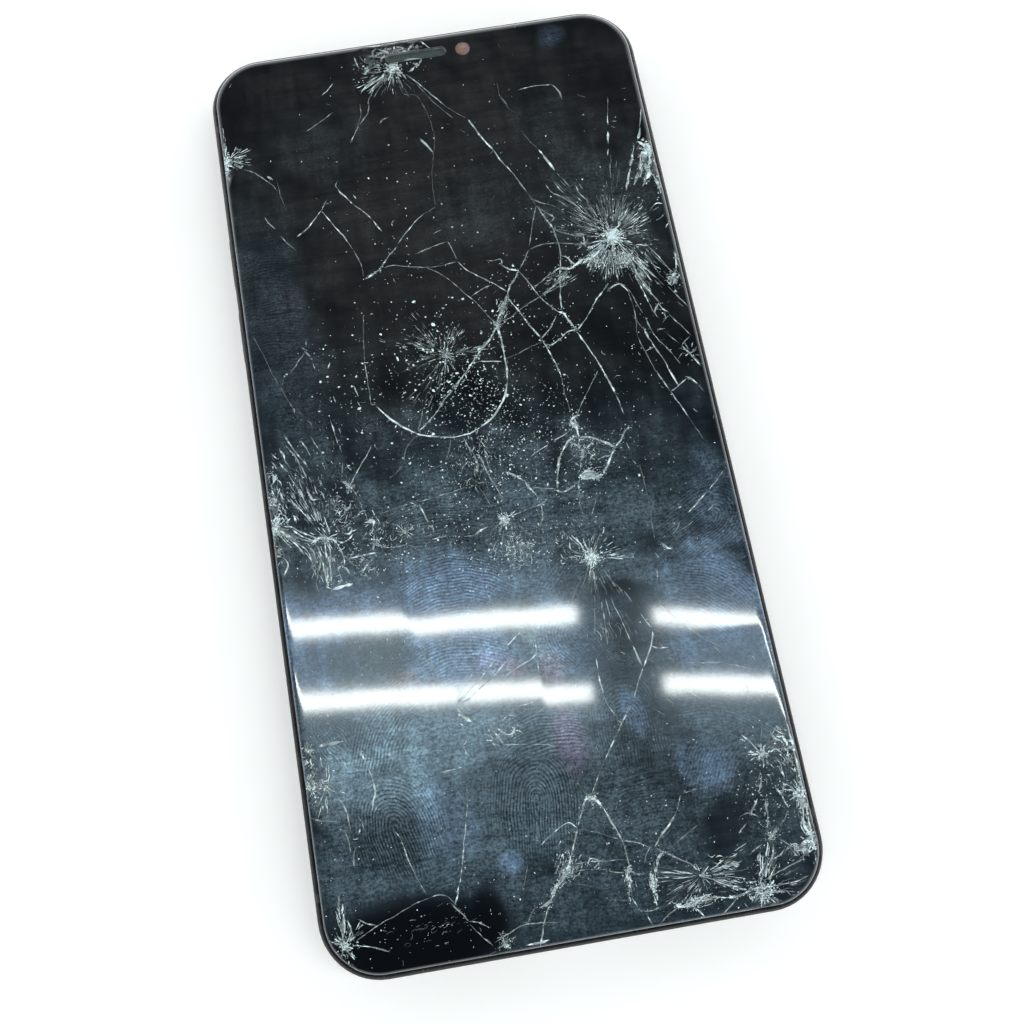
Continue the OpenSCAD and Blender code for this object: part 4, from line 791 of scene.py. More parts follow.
    (0.3, 0.2, [-7.6, -74.6, -6, -72.6], 3), (0.36, 0.24, [0.8, -66.2, 1.6, -64.2, 2.4, -62.4], 3),
    (0.34, 0.22, [2.5, -62.2, 3.4, -60.4, 4.4, -58.6], 3),
    (0.7, 0.3, [3.6, -59.6, 4.4, -58.6, 5.2, -58.2], 3), (0.75, 0.36, [5, -58.2, 6, -59, 6.8, -60.2], 6),
    (0.55, 0.26, [6.6, -59.8, 7.4, -61.6, 8.2, -63.8, 8.8, -65.6], 3),
    (0.36, 0.18, [8.8, -65.6, 9, -67.6, 9.1, -69.2], 2),
    (0.75, 0.46, [9.3, -69.2, 8.7, -69.8, 8.4, -70.6], 6),
    (0.55, 0.3, [8.6, -71, 8.3, -72.6, 8.1, -73.6], 4), (0.4, 0.2, [8.5, -73.6, 9.2, -75.4], 2),
    (0.2, 0.12, [3.6, -55.6, 4.2, -57.2, 5, -58.2]),
    (0.6, 0.24, [2.3, -62.4, 1.2, -61.5, -0.2, -61.9, -1.8, -62.8]),
    (0.4, 0.16, [-1.8, -62.8, -3, -63.6, -4.2, -64.3]), (0.22, 0.12, [-6, -66.4, -6.6, -68, -7.2, -69.6]),
    (0.18, 0.12, [2.6, -62.6, 5.6, -63.8, 8.6, -65.2]), (0.3, 0.14, [8.8, -65.4, 10.8, -66, 13, -67.2]),
    (0.3, 0.15, [0.6, -67.6, 3.6, -67.6, 6, -67.9, 8.8, -68.2], 1),
    (0.26, 0.14, [0.2, -68.6, 4, -68.8, 7, -69.8, 8.6, -70]),
    (0.55, 0.26, [2.8, -68.2, 3.4, -67.2, 4.6, -67.8, 3.8, -68.6], 4),
    (0.34, 0.22, [9, -69.8, 10, -70.5, 11.2, -70.6], 2), (0.2, 0.12, [0.4, -70.3, 3.2, -71.2]),
    (0.18, 0.1, [5, -73.4, 7.6, -74, 9.4, -74.2]), (0.3, 0.14, [12.9, -66.8, 12, -68, 11.3, -69.4]),
    (0.65, 0.24, [13.4, -67.1, 15, -65.4, 16.6, -64, 17.8, -62.6], 1),
    (0.26, 0.16, [17.8, -62.6, 18.4, -61.4, 18.9, -60.3], 1),
    (0.44, 0.2, [13.4, -67.2, 14.4, -67.9, 15.6, -68.6], 1),
    (0.45, 0.24, [15, -68.2, 16.6, -69.4, 18.2, -70.4, 19.2, -71.6], 2),
    (0.55, 0.36, [14.6, -68, 13.6, -68.8, 13, -70.2, 12.6, -71.2], 4),
    (0.85, 0.48, [12, -70.8, 12.1, -72.2, 11.8, -73.6], 8), (0.6, 0.34, [11.8, -73.8, 12, -75.4], 5),
    (0.22, 0.14, [15.8, -67.6, 18, -66.4, 20.6, -65]), (0.3, 0.16, [19.4, -60.1, 21.6, -59.8]),
    (0.4, 0.2, [9.6, -75.8, 11.2, -76, 12.4, -75.8], 2),
    (0.7, 0.34, [14.6, -75.4, 15.4, -76.2, 17, -76.2, 18.4, -75.4, 20.2, -75.2], 6),
    (0.6, 0.28, [16.8, -76.4, 18.4, -75.9, 20.4, -75.8], 4),
    (0.55, 0.26, [20.6, -75.6, 22.6, -76, 24.8, -76, 26.6, -75.4], 3),
    (0.72, 0.26, [17.6, -76.6, 18.2, -77.4, 18.8, -78.4], 2),
    (0.5, 0.22, [24, -76.4, 22.6, -77.4, 21.2, -78.4], 1), (0.6, 0.22, [10.3, -76.6, 10.9, -78.4]),
    (0.3, 0.16, [12, -78, 13.4, -77, 15, -76.2], 1), (0.4, 0.16, [25, -77.2, 25.4, -78]),
    (0.6, 0.24, [26.6, -75.4, 28.6, -75.5, 30.8, -75.6], 3),
    (0.34, 0.14, [30.8, -75.6, 33.6, -75.4, 35.4, -75]), (0.5, 0.2, [28, -76, 29.6, -76.3, 31.4, -76.7], 2),
    (0.3, 0.14, [31.4, -76.2, 32.2, -77.4]), (0.36, 0.16, [28.6, -74.6, 31, -73.7, 33.4, -73, 35.4, -72.4]),
    (0.55, 0.28, [27.8, -75, 28.8, -73.6, 29.8, -72.4, 30.8, -71.2, 31.2, -69.6], 4),
    (0.55, 0.26, [28.4, -71.8, 29.2, -70.9], 3), (0.5, 0.22, [30.6, -71.8, 31.8, -71.4, 32.8, -70.6], 2),
    (0.62, 0.36, [30.6, -68.8, 31.4, -68.4, 32.4, -67.6], 5),
    (0.34, 0.16, [32.2, -69, 33.4, -70, 34.4, -70.8]),
    (0.36, 0.2, [27.2, -70.6, 28.6, -69.9, 29.8, -69.3], 1),
    (0.3, 0.18, [32.8, -67.2, 33.8, -66.4, 34.6, -65.2], 2),
    (0.48, 0.26, [31.8, -59.6, 31.2, -61.2, 30.8, -62], 4),
    (0.6, 0.24, [30.4, -62.8, 29.6, -63.8, 28.8, -64.8], 2),
    (0.5, 0.24, [31.6, -63, 31.4, -64.4, 31.4, -65.6, 30.9, -67.2], 4),
    (0.4, 0.22, [26.4, -67.4, 27.2, -66.6, 28, -66], 2), (0.3, 0.18, [27, -65, 28.6, -64.6, 30, -65.4], 1),
    (0.44, 0.22, [33.4, -61.4, 34.2, -62.8, 34.4, -64, 34.8, -64.9], 3),
    (0.5, 0.24, [34.4, -62.6, 35, -61.4, 35.8, -61.8], 3),
    (0.55, 0.28, [34.6, -58.4, 35, -59.6, 35.2, -60.6], 3),
    (0.6, 0.22, [30.2, -53, 31.2, -54.2, 32.4, -56]), (0.22, 0.14, [33.8, -50.6, 33.4, -52.8, 32.8, -54.8]),
    (0.5, 0.22, [34, -56.2, 35, -56, 35.8, -56.8], 2),
    (0.4, 0.18, [-37.6, -54.4, -36.4, -54.9, -35, -55.2]), (0.34, 0.18, [-35, -55.2, -33.6, -55.7], 1),
    (0.3, 0.14, [-33.4, -51.6, -32.4, -53.4, -32, -55.4, -31.8, -57.6]),
    (0.24, 0.14, [-32.8, -56.8, -32.4, -58.8, -32.3, -60.6]),
    (0.3, 0.2, [-31.4, -59.6, -32, -61, -32.1, -62.4], 1),
    (0.24, 0.12, [-30.6, -54.8, -30, -56.4, -29.6, -58]), (0.75, 0.4, [-31.7, -58.5, -30.9, -58.5], 1),
    (0.75, 0.44, [-30.8, -57.9, -30.4, -57.1], 1), (0.6, 0.42, [-35, -43.9, -33, -43.8, -31.1, -43.8]),
    (0.6, 0.6, [-36.8, -44.3, -35.6, -44.4], 3), (0.4, 0.2, [-33.6, -73, -33.8, -71.4, -34.2, -69.8], 1),
    # blocks broken out above the top blow
    (0.55, 0.5, [-11.8, 77, -11.6, 75.8, -11.2, 74.6]),
    (0.75, 0.6, [-10.9, 73.6, -10.3, 73.3, -9.9, 73.7], 2),
    (0.3, 0.4, [-9.9, 73.8, -8.7, 74.4, -7.6, 74.7, -7.9, 73.4]), (0.22, 0.3, [-10.9, 77.3, -10.2, 75.8]),
    (0.3, 0.36, [-9.4, 76.6, -8.4, 76.9, -8.3, 77.7, -7.6, 78.4]),
    (0.26, 0.36, [-8.4, 76.6, -6.9, 76.2, -5.9, 76.2]), (0.5, 0.46, [-7.5, 78.2, -6.3, 77.6, -5.3, 76.6]),
    (0.24, 0.36, [-6.1, 78.4, -6, 77.8, -5.8, 77.2]), (0.46, 0.46, [-4.8, 76.7, -4.5, 77.6, -4.2, 78.3]),
    (0.44, 0.36, [-4, 78.2, -3.2, 77.8, -2.4, 77.2]), (0.8, 0.5, [-3, 77.2, -2.5, 77, -2.1, 77.4], 1),
    (0.5, 0.4, [-4, 77.2, -3.2, 76.7, -2.2, 76.6, -1.6, 76.8]),
    (0.4, 0.44, [-1.6, 76.8, -1.2, 77.6, -0.5, 78.2]), (0.46, 0.36, [-0.5, 78.2, -1.2, 78.5]),
    (0.52, 0.42, [0.5, 78.5, 0.9, 78.2, 1.6, 77.3, 2.2, 76.6]),
    (0.5, 0.24, [-3, 74.9, -1.2, 74.9, 0.3, 74.8]), (0.4, 0.44, [0.3, 74.8, 0.1, 74.2, -0.4, 73.7]),
    (0.95, 0.56, [-0.6, 74, -0.8, 73.4]), (0.7, 0.46, [-1.2, 73.3, -1.8, 72.8, -2.4, 72.4]),
    (0.95, 0.6, [-6.2, 74.2, -5.4, 74.3, -4.6, 74, -4, 73]),
    (0.85, 0.5, [-6.6, 73.4, -5.6, 72.9, -5, 72.6]), (0.6, 0.3, [-3.8, 72.4, -3.4, 71.6, -3.1, 70.9]),
    (0.4, 0.34, [-6.8, 73, -7.6, 71.8, -8.2, 71.2]), (0.5, 0.3, [-7.6, 71.9, -8.8, 71.3, -9.8, 70.8]),
    (0.55, 0.26, [-8.6, 72.3, -9.8, 71.3, -11.2, 70.2, -11.7, 69.4]),
    (0.3, 0.26, [-4.5, 71.8, -4.2, 70.4, -4, 69]),
    # torn right edge
    (0.55, 0.44, [36.6, 54, 36.2, 52.6, 35.7, 51.7]),
    (0.95, 0.8, [35.6, 51.4, 36.3, 50.8, 36.9, 50.2, 37.5, 50.4], 2),
    (0.95, 0.85, [37.2, 50.4, 36.6, 49.2, 35.9, 48, 35.8, 47.2], 3),
    (1, 0.9, [37.4, 50, 37.1, 48.6, 37, 47.4, 36.5, 46.2], 2),
    (0.6, 0.4, [35.6, 48.8, 35.2, 46.9, 34.8, 45.4], 1),
    (0.8, 0.55, [37.1, 45.3, 36.3, 44.8, 35.6, 43.7, 34.7, 42.5], 1),
    (0.5, 0.55, [36.9, 44.6, 37.2, 43.4, 37.5, 41.8, 37.6, 40.6], 2),
    (0.6, 0.5, [34.4, 49.6, 34, 48.4, 33.3, 46.8], 1),
    (0.42, 0.44, [33.4, 46.6, 32.6, 44.8, 31.8, 42.6], 1), (0.4, 0.36, [34.6, 45.6, 33.8, 44, 33.2, 43]),
    (0.4, 0.2, [36.6, 54.2, 37.3, 56.4, 37.7, 58]), (0.4, 0.26, [37.8, 34.8, 37, 34], 1),
    # torn lower right edge
    (0.85, 0.5, [37.6, -52.5, 37.6, -57, 37.6, -61.5, 37.5, -66, 37.3, -69.2]),
    (0.95, 0.9, [36.3, -62.9, 36.9, -63.7, 37.3, -63], 3),
    (0.8, 0.6, [37, -63.9, 36.8, -66, 36.6, -67.8, 37.2, -69.6, 37.3, -71], 1),
    (0.55, 0.5, [37.3, -71.2, 36.4, -71.6, 35.3, -71.2, 35.9, -70.3, 36.9, -69.8], 1),
    (0.5, 0.4, [35.3, -70.8, 34.4, -70.9], 1),
    (0.6, 0.4, [36.2, -54, 36.8, -55.4, 36.6, -57, 37, -58.6], 1), (0.45, 0.3, [35.3, -71.9, 35.2, -73], 1),
    (0.4, 0.3, [34.6, -53, 35.2, -54.4, 36.2, -55], 1),
    (0.45, 0.3, [35.4, -61.4, 36.1, -62.4, 36.4, -63.6]),
    # slivers in the left-hand cluster
    (0.42, 0.22, [-33.8, 7.6, -32.8, 5.2, -31.6, 3, -30.6, 1.4]),
    (0.4, 0.2, [-33.8, 5.6, -32.4, 3.2, -31.4, 0.6, -31, -0.8]),
    (0.4, 0.18, [-31.1, 6, -30.5, 4.6, -29.9, 3.1]), (0.34, 0.16, [-29.5, 6.6, -28.7, 4.6, -27.6, 2.7]),
    (0.6, 0.28, [-34.9, 5, -34.3, 4, -34.2, 3, -33.7, 2], 1),
    (0.55, 0.24, [-36.3, 4.6, -35.8, 3.8, -35.3, 3.3], 1), (0.5, 0.22, [-36.5, 3.2, -35.6, 1.6]),
    (0.55, 0.24, [-35.2, 2.8, -34.6, 1.8, -33.8, 0.8]), (0.45, 0.2, [-33.9, 0.4, -33.2, -1.2, -32.6, -2.6]),
    (0.7, 0.44, [-32.8, -2, -32.3, -3.2, -31.9, -4.4], 3), (0.6, 0.34, [-33.8, -2.6, -33.3, -3.8], 2),
    (0.6, 0.3, [-31.4, -2.4, -31, -3.4, -30.6, -4.4, -29.2, -4.5], 1),
    (0.6, 0.3, [-29.4, -3, -28.8, -3.6, -28.6, -4.8], 1), (0.6, 0.34, [-34, -6.6, -33.6, -8], 1),
    (0.6, 0.3, [-32.2, -4.6, -31.6, -6]), (0.5, 0.3, [-31.9, -6.6, -31.2, -7.9], 1),
    (0.7, 0.6, [-36.6, 1.2, -36.3, 0.2, -36.6, -0.6], 4), (0.6, 0.4, [-37, -1.6, -36.7, -2.8], 2),
    (0.65, 0.26, [-36, -8.1, -34.6, -8.4, -33.4, -9.4, -31.8, -10.4, -30.4, -11.2]),
    (0.55, 0.22, [-34.6, -8.8, -33.2, -10.2, -31.4, -11.2]),
    (0.5, 0.2, [-34.8, -9.6, -33, -10.8, -31.2, -11.6]),
    (0.6, 0.24, [-36.4, -8.8, -35.2, -10.2, -34, -11.8, -33.2, -13.2]),
    (0.5, 0.2, [-35.4, -9.4, -34.2, -11, -33, -12.2, -32.4, -13.2]),
    (0.55, 0.24, [-32.4, -12.2, -31.6, -13.2, -31.4, -14.8]),
    (0.42, 0.18, [-33.2, -12.6, -32.3, -14, -31.9, -15.6]),
    (0.62, 0.24, [-30.9, -12, -30.5, -13.6, -30.3, -15.6, -30.2, -17.8, -29.9, -19.2]),
    (0.5, 0.24, [-29.6, -11.8, -29.6, -14, -29.5, -15.4], 1),
    (0.5, 0.24, [-28.9, -12, -28.9, -14, -29.2, -16, -29.4, -18.8], 1),
    (0.6, 0.28, [-28.9, -11.3, -27.9, -12, -27.2, -13.6, -26.8, -15.2, -27, -16.2], 1),
    (0.85, 0.4, [-31.8, -11.7, -30.4, -11.1, -29, -11.4, -27.6, -11.9], 3),
    (0.65, 0.3, [-27.6, -11.9, -26.8, -12.4, -25.6, -12, -24.8, -11.2], 1),
    (0.6, 0.3, [-28.9, -10.9, -29.8, -9.2]), (0.6, 0.3, [-28.5, -10.6, -28.9, -8.8, -29.1, -7.4]),
    (0.6, 0.28, [-26.6, -10.8, -25.4, -11.1, -24.8, -10.2]),
    (0.6, 0.4, [-25.8, -7.4, -24.8, -6.8, -24.4, -6.2], 2),
    (0.6, 0.3, [-36.9, -13, -36.2, -13.8, -36, -14.8, -36.8, -16.2], 1),
    (0.6, 0.5, [-37.2, -11.8, -36.8, -12.2], 3), (0.45, 0.24, [-26.3, -15.2, -25.6, -16.2, -25, -16.6]),
    (0.45, 0.24, [-24, -17.4, -23.2, -16.6, -22.6, -16], 1),
    # long thin lines down from the biggest blow
    (0.6, 0.24, [29.8, 28.6, 30.4, 26, 31.2, 23.4, 32.2, 21.6]),
    (0.5, 0.2, [30.6, 29, 31.6, 26.4, 32.6, 24.2]),
    (0.55, 0.34, [31, 28, 31.8, 27, 32.6, 26, 33.6, 24.6], 1), (0.4, 0.18, [33.2, 31, 34.6, 28.8, 36, 26]),
    (0.45, 0.18, [31.2, 31.6, 33.2, 31.2, 33.6, 31.3]), (0.4, 0.2, [26.6, 25.2, 27.4, 24.2, 28.4, 22.8]),
    (0.5, 0.26, [27, 28.6, 26.8, 27.2, 26.8, 25.4], 1), (0.45, 0.22, [30, 27.6, 29.9, 26, 30.1, 24.6], 1),
    (0.42, 0.18, [20, 43.2, 21.4, 41.8, 23, 40.2]), (0.34, 0.16, [15, 43.3, 16.8, 42.2, 17.6, 42]),
    (0.32, 0.22, [15.6, 41.6, 16.6, 40.6, 18, 39.2, 17.4, 38.4], 1),
    (0.36, 0.18, [17.8, 36.8, 19.6, 35.8, 21.6, 34.8]), (0.5, 0.22, [35.6, 35.6, 36.6, 36, 37.4, 36.6]),
    (0.55, 0.34, [35.4, 38.2, 36.4, 38.8, 37.4, 38.6]),
]

# Fans of rays: the blow's place, where rays begin and end (mm from it), sector in degrees,
# how many, longest ray, width, brightness
rayFans = [
    # top, over the slot
    ((-5.1, 73.6), [(1, 3.9, 222, 300, 24, 2.6, 0.26, 0.62), (2.4, 7.8, 200, 226, 26, 2.4, 0.24, 0.5),
        (3.4, 9.5, 226, 262, 14, 2.2, 0.18, 0.26), (0.5, 1.9, 170, 350, 30, 1.2, 0.24, 0.85),
        (3, 8.5, 286, 322, 10, 2.4, 0.13, 0.22), (2, 7, 165, 200, 12, 1.8, 0.18, 0.26)]),
    # left shoulder
    ((-37.2, 60), [(0.7, 3.6, -58, 52, 44, 2.2, 0.26, 0.8), (2, 5.6, -25, 42, 16, 1.8, 0.2, 0.5)]),
    ((-37.6, 60), [(1, 6.5, 80, 96, 14, 2.2, 0.26, 0.6), (1, 4.6, 264, 282, 14, 1.8, 0.3, 0.85)]),
    # the biggest blow
    ((27.5, 33.9), [(0.9, 2.9, 0, 360, 90, 1.5, 0.24, 0.92), (2.2, 5.6, 25, 175, 100, 1.6, 0.16, 0.46),
        (3.6, 10.5, 58, 108, 110, 2, 0.14, 0.34), (3.4, 9.8, 18, 58, 70, 2, 0.22, 0.62),
        (3, 9, 30, 75, 90, 1.6, 0.13, 0.32), (4, 14, 112, 136, 56, 2.6, 0.17, 0.44),
        (3, 10, 136, 172, 44, 2.2, 0.16, 0.38), (2.5, 9, -20, 18, 34, 1.8, 0.18, 0.4),
        (3.2, 14, 286, 314, 50, 2.4, 0.2, 0.46), (2.4, 9.5, 255, 292, 60, 2.4, 0.2, 0.52),
        (2.6, 9.5, 222, 256, 96, 2.2, 0.19, 0.54), (2, 7.5, 196, 224, 40, 1.8, 0.22, 0.55),
        (2, 6, 255, 330, 40, 1.4, 0.26, 0.72), (8, 19, 66, 84, 16, 3, 0.13, 0.24),
        (9, 17, 118, 132, 14, 3, 0.16, 0.34), (8, 18, 286, 300, 20, 3, 0.18, 0.46)]),
    # middle
    ((-4.8, 17), [(0.3, 1.9, 0, 360, 40, 1, 0.16, 0.62), (1, 5, 0, 360, 60, 1.7, 0.14, 0.48),
        (2.4, 12, 112, 160, 80, 1.6, 0.15, 0.44), (2, 8.5, 40, 85, 34, 1.6, 0.13, 0.4),
        (2, 12, 222, 258, 50, 2.2, 0.14, 0.3), (1.5, 8.6, 352, 372, 26, 2.2, 0.14, 0.46),
        (1.8, 8, 172, 200, 26, 2, 0.14, 0.38)]),
    # left edge
    ((-37.5, -8.3), [(0.5, 3, -80, 86, 40, 1.8, 0.3, 0.88), (2, 8, -58, -16, 26, 2.4, 0.2, 0.52),
        (2, 8, 66, 88, 16, 2, 0.24, 0.5), (2, 8, 275, 292, 12, 1.8, 0.24, 0.46)]),
    ((-29.4, -11.3), [(0.4, 3.2, 0, 360, 40, 1.8, 0.2, 0.66), (3, 13, 96, 128, 60, 2.4, 0.19, 0.5),
        (2.5, 8.5, 236, 290, 46, 2.4, 0.18, 0.5), (2.5, 8, 60, 98, 26, 1.8, 0.18, 0.42),
        (2.5, 7.5, 0, 60, 24, 1.5, 0.2, 0.46), (8, 20, 98, 116, 26, 2.6, 0.13, 0.26)]),
    # middle, lower
    ((0.1, -13.2), [(0.3, 1.8, 0, 360, 22, 1.2, 0.34, 0.85), (1.2, 4.6, 0, 360, 16, 1.6, 0.26, 0.5),
        (2, 8.5, 240, 300, 36, 1.8, 0.16, 0.36)]),
    ((12.8, -21.5), [(0.3, 2.3, 0, 360, 34, 1.6, 0.36, 0.95), (1.4, 5.4, 0, 360, 34, 2.6, 0.34, 0.85),
        (2.4, 9, 238, 300, 50, 3, 0.17, 0.34), (2.4, 8.5, -12, 14, 16, 2, 0.24, 0.5)]),
    ((-16.4, -12.4), [(0.3, 2.2, 0, 360, 34, 1.2, 0.24, 0.62)]),
    ((-12.9, -41.3), [(0.5, 4.2, 15, 75, 22, 2, 0.14, 0.4), (0.4, 2.4, 0, 360, 20, 1.2, 0.2, 0.5)]),
    # lower left
    ((-34.6, -50.2), [(0.3, 2.2, 0, 360, 26, 1.6, 0.3, 0.85), (1.4, 5.6, 0, 360, 26, 2.2, 0.28, 0.62)]),
    ((-37.2, -49.6), [(0.4, 3, -85, 85, 20, 1.4, 0.34, 0.72)]),
    ((-34.6, -50.2), [(3, 9.5, 285, 306, 14, 2.4, 0.15, 0.3)]),
    ((-35, -73.4), [(0.4, 2.4, 0, 360, 30, 1.6, 0.3, 0.8)]),
    ((-35, -73), [(0.6, 6.6, 82, 100, 18, 2.6, 0.38, 0.8)]),
    ((-35, -73.4), [(1.4, 4.6, 20, 78, 14, 1.8, 0.26, 0.44), (1.2, 3.4, 110, 360, 14, 1.4, 0.26, 0.44)]),
    # lower right
    ((32.6, -56.3), [(0.3, 2.2, 0, 360, 24, 1.6, 0.32, 0.85), (1.5, 5.4, 0, 360, 22, 2.2, 0.26, 0.5),
        (1, 4.6, -10, 50, 12, 1.8, 0.3, 0.66)]),
    ((19.6, -72.3), [(0.4, 2.4, 0, 360, 34, 1.4, 0.16, 0.6), (1.4, 8.6, -32, 22, 46, 3.4, 0.24, 0.6),
        (1.4, 8.4, 160, 212, 34, 3.8, 0.16, 0.5), (1.4, 5.4, 212, 258, 24, 1.8, 0.15, 0.42)]),
    ((28, -76), [(0.3, 2.8, 0, 360, 34, 1.6, 0.32, 0.8), (2, 8, 50, 82, 20, 2.6, 0.3, 0.56),
        (2, 8, -6, 30, 16, 2.6, 0.22, 0.5), (2, 10, 160, 182, 18, 2.4, 0.28, 0.56)]),
    ((37.3, -70.8), [(0.4, 3.2, 90, 270, 24, 1.8, 0.32, 0.7)]),
    ((37.3, -63), [(0.4, 3.2, 90, 270, 24, 1.6, 0.32, 0.66)]),
    ((37.2, -54.5), [(0.4, 3, 90, 270, 20, 1.4, 0.28, 0.56)]),
    # right edge
    ((37.2, 49), [(0.4, 2.4, 130, 250, 14, 1.4, 0.26, 0.6)]),
    ((37.2, 24.6), [(0.4, 2.6, 100, 250, 20, 1.4, 0.22, 0.5)]),
    ((36.2, 10.5), [(0.4, 2.4, 0, 360, 14, 1.4, 0.2, 0.44)]),
    ((33.4, 19.3), [(0.3, 1.6, 0, 360, 9, 1, 0.18, 0.46)]),
    # where fractures meet
    ((22.3, 33.4), [(0.2, 1.7, 0, 360, 18, 1.1, 0.22, 0.6)]),
    ((5.2, -58.4), [(0.2, 1.2, 0, 360, 10, 0.9, 0.22, 0.6)]),
    ((17.2, -76), [(0.2, 1.7, 0, 360, 14, 1.1, 0.22, 0.56)]),
    ((31.4, -68.4), [(0.2, 1.8, 0, 360, 12, 1, 0.22, 0.48)]),
    ((-24.4, -3), [(0.2, 1.4, 0, 360, 8, 0.9, 0.22, 0.46)]),
    ((4.6, 20.8), [(0.2, 1.2, 0, 360, 10, 0.8, 0.2, 0.5)]),
]

# Crazed patches, short bits lying every way: middle, spread, how many, longest, heading from
# and to (degrees), width, brightness
crazes = [
    ((-25.6, -7.6), 2.8, 3, 70, 1.3, 0, 180, 0.22, 0.55),
    ((-24.6, -15.8), 3, 2.4, 60, 1.4, 0, 180, 0.2, 0.5),
    ((-32.5, -3.4), 3.8, 4.6, 90, 1.5, 98, 128, 0.19, 0.46),
    ((-36.4, -4), 1, 5, 70, 1.4, 60, 130, 0.28, 0.52), ((-20.8, -11.6), 2, 2.4, 60, 1.2, 0, 180, 0.2, 0.46),
    ((-30, -15.6), 2.6, 2.6, 70, 2, 80, 112, 0.17, 0.4),
    ((1.6, -18.6), 2.6, 2.4, 110, 1.3, 20, 170, 0.2, 0.46), ((9, -19), 3, 3, 60, 1.4, 0, 180, 0.18, 0.42),
    ((-3, -1.5), 3, 4, 110, 1.3, 40, 140, 0.16, 0.4), ((15.4, -3.6), 2.4, 2.4, 80, 1.3, 0, 180, 0.22, 0.56),
    ((15.4, -7.8), 1.3, 0.5, 40, 1.4, -12, 14, 0.28, 0.8),
    ((14.2, 1.4), 0.8, 1.2, 26, 1, 40, 130, 0.26, 0.66),
    ((28.8, 29.2), 1.8, 1.5, 70, 1.1, 0, 180, 0.28, 0.78),
    ((24, 30), 1.5, 1.6, 46, 1.2, 30, 110, 0.26, 0.74),
    ((31.6, 27.4), 1.4, 2.4, 60, 1.8, 100, 130, 0.26, 0.6),
    ((35.4, 46.6), 0.9, 2.6, 50, 1.8, 50, 78, 0.24, 0.52),
    ((16.8, 27.6), 1.8, 1.2, 60, 1.4, 10, 60, 0.24, 0.5),
    ((6, 23.2), 0.8, 1.8, 46, 1.2, 40, 80, 0.26, 0.62), ((-3.4, 76.8), 3, 0.9, 46, 1.5, 20, 160, 0.34, 0.4),
    ((-9, 75.6), 1.4, 1.2, 22, 1.4, 90, 160, 0.32, 0.36),
    ((36.6, -66.5), 0.6, 3.6, 40, 1.9, 70, 110, 0.28, 0.62),
    ((36.2, -57.6), 0.8, 3, 36, 1.5, 40, 140, 0.22, 0.52),
    ((35, -70.9), 1.4, 0.7, 40, 1.6, 0, 180, 0.22, 0.6),
    ((23.4, -71.4), 2.6, 1.2, 44, 1.6, -22, 16, 0.22, 0.58),
    ((17.8, -75.8), 2.4, 0.6, 40, 1.4, 0, 60, 0.28, 0.72),
    ((27.6, -76), 1.6, 1, 44, 1.1, 0, 180, 0.26, 0.74),
    ((29.4, -72.6), 1.4, 1.8, 30, 1.5, 35, 75, 0.26, 0.54),
    ((0, -67.6), 1.8, 2.2, 90, 1.3, 30, 80, 0.24, 0.56),
    ((12.1, -72.4), 0.5, 1.4, 50, 1, 70, 110, 0.3, 0.72),
    ((8.6, -71.8), 0.5, 1.4, 36, 1, 60, 110, 0.26, 0.6),
    ((-11.2, -76.6), 1, 0.8, 26, 1.1, 0, 180, 0.26, 0.66),
    ((-36.6, -46.6), 0.8, 3.2, 60, 1.3, 50, 130, 0.28, 0.56),
    ((-6, -47), 2.6, 1.6, 40, 1.3, 130, 190, 0.2, 0.46), ((-22, -73), 6, 2.2, 40, 1.2, -10, 30, 0.13, 0.2),
    ((0, -30), 40, 48, 260, 1.1, 0, 180, 0.11, 0.3), ((0, 6), 34, 16, 170, 1.1, 0, 180, 0.12, 0.34),
    ((0, 50), 36, 24, 60, 1, 0, 180, 0.11, 0.24), ((22, -38), 10, 6, 40, 2.2, -60, -20, 0.12, 0.36),
    ((13.6, -33), 2.4, 2.6, 22, 2.6, 94, 116, 0.16, 0.44), ((-26, 2), 5, 10, 60, 1.4, 95, 130, 0.13, 0.3),
]

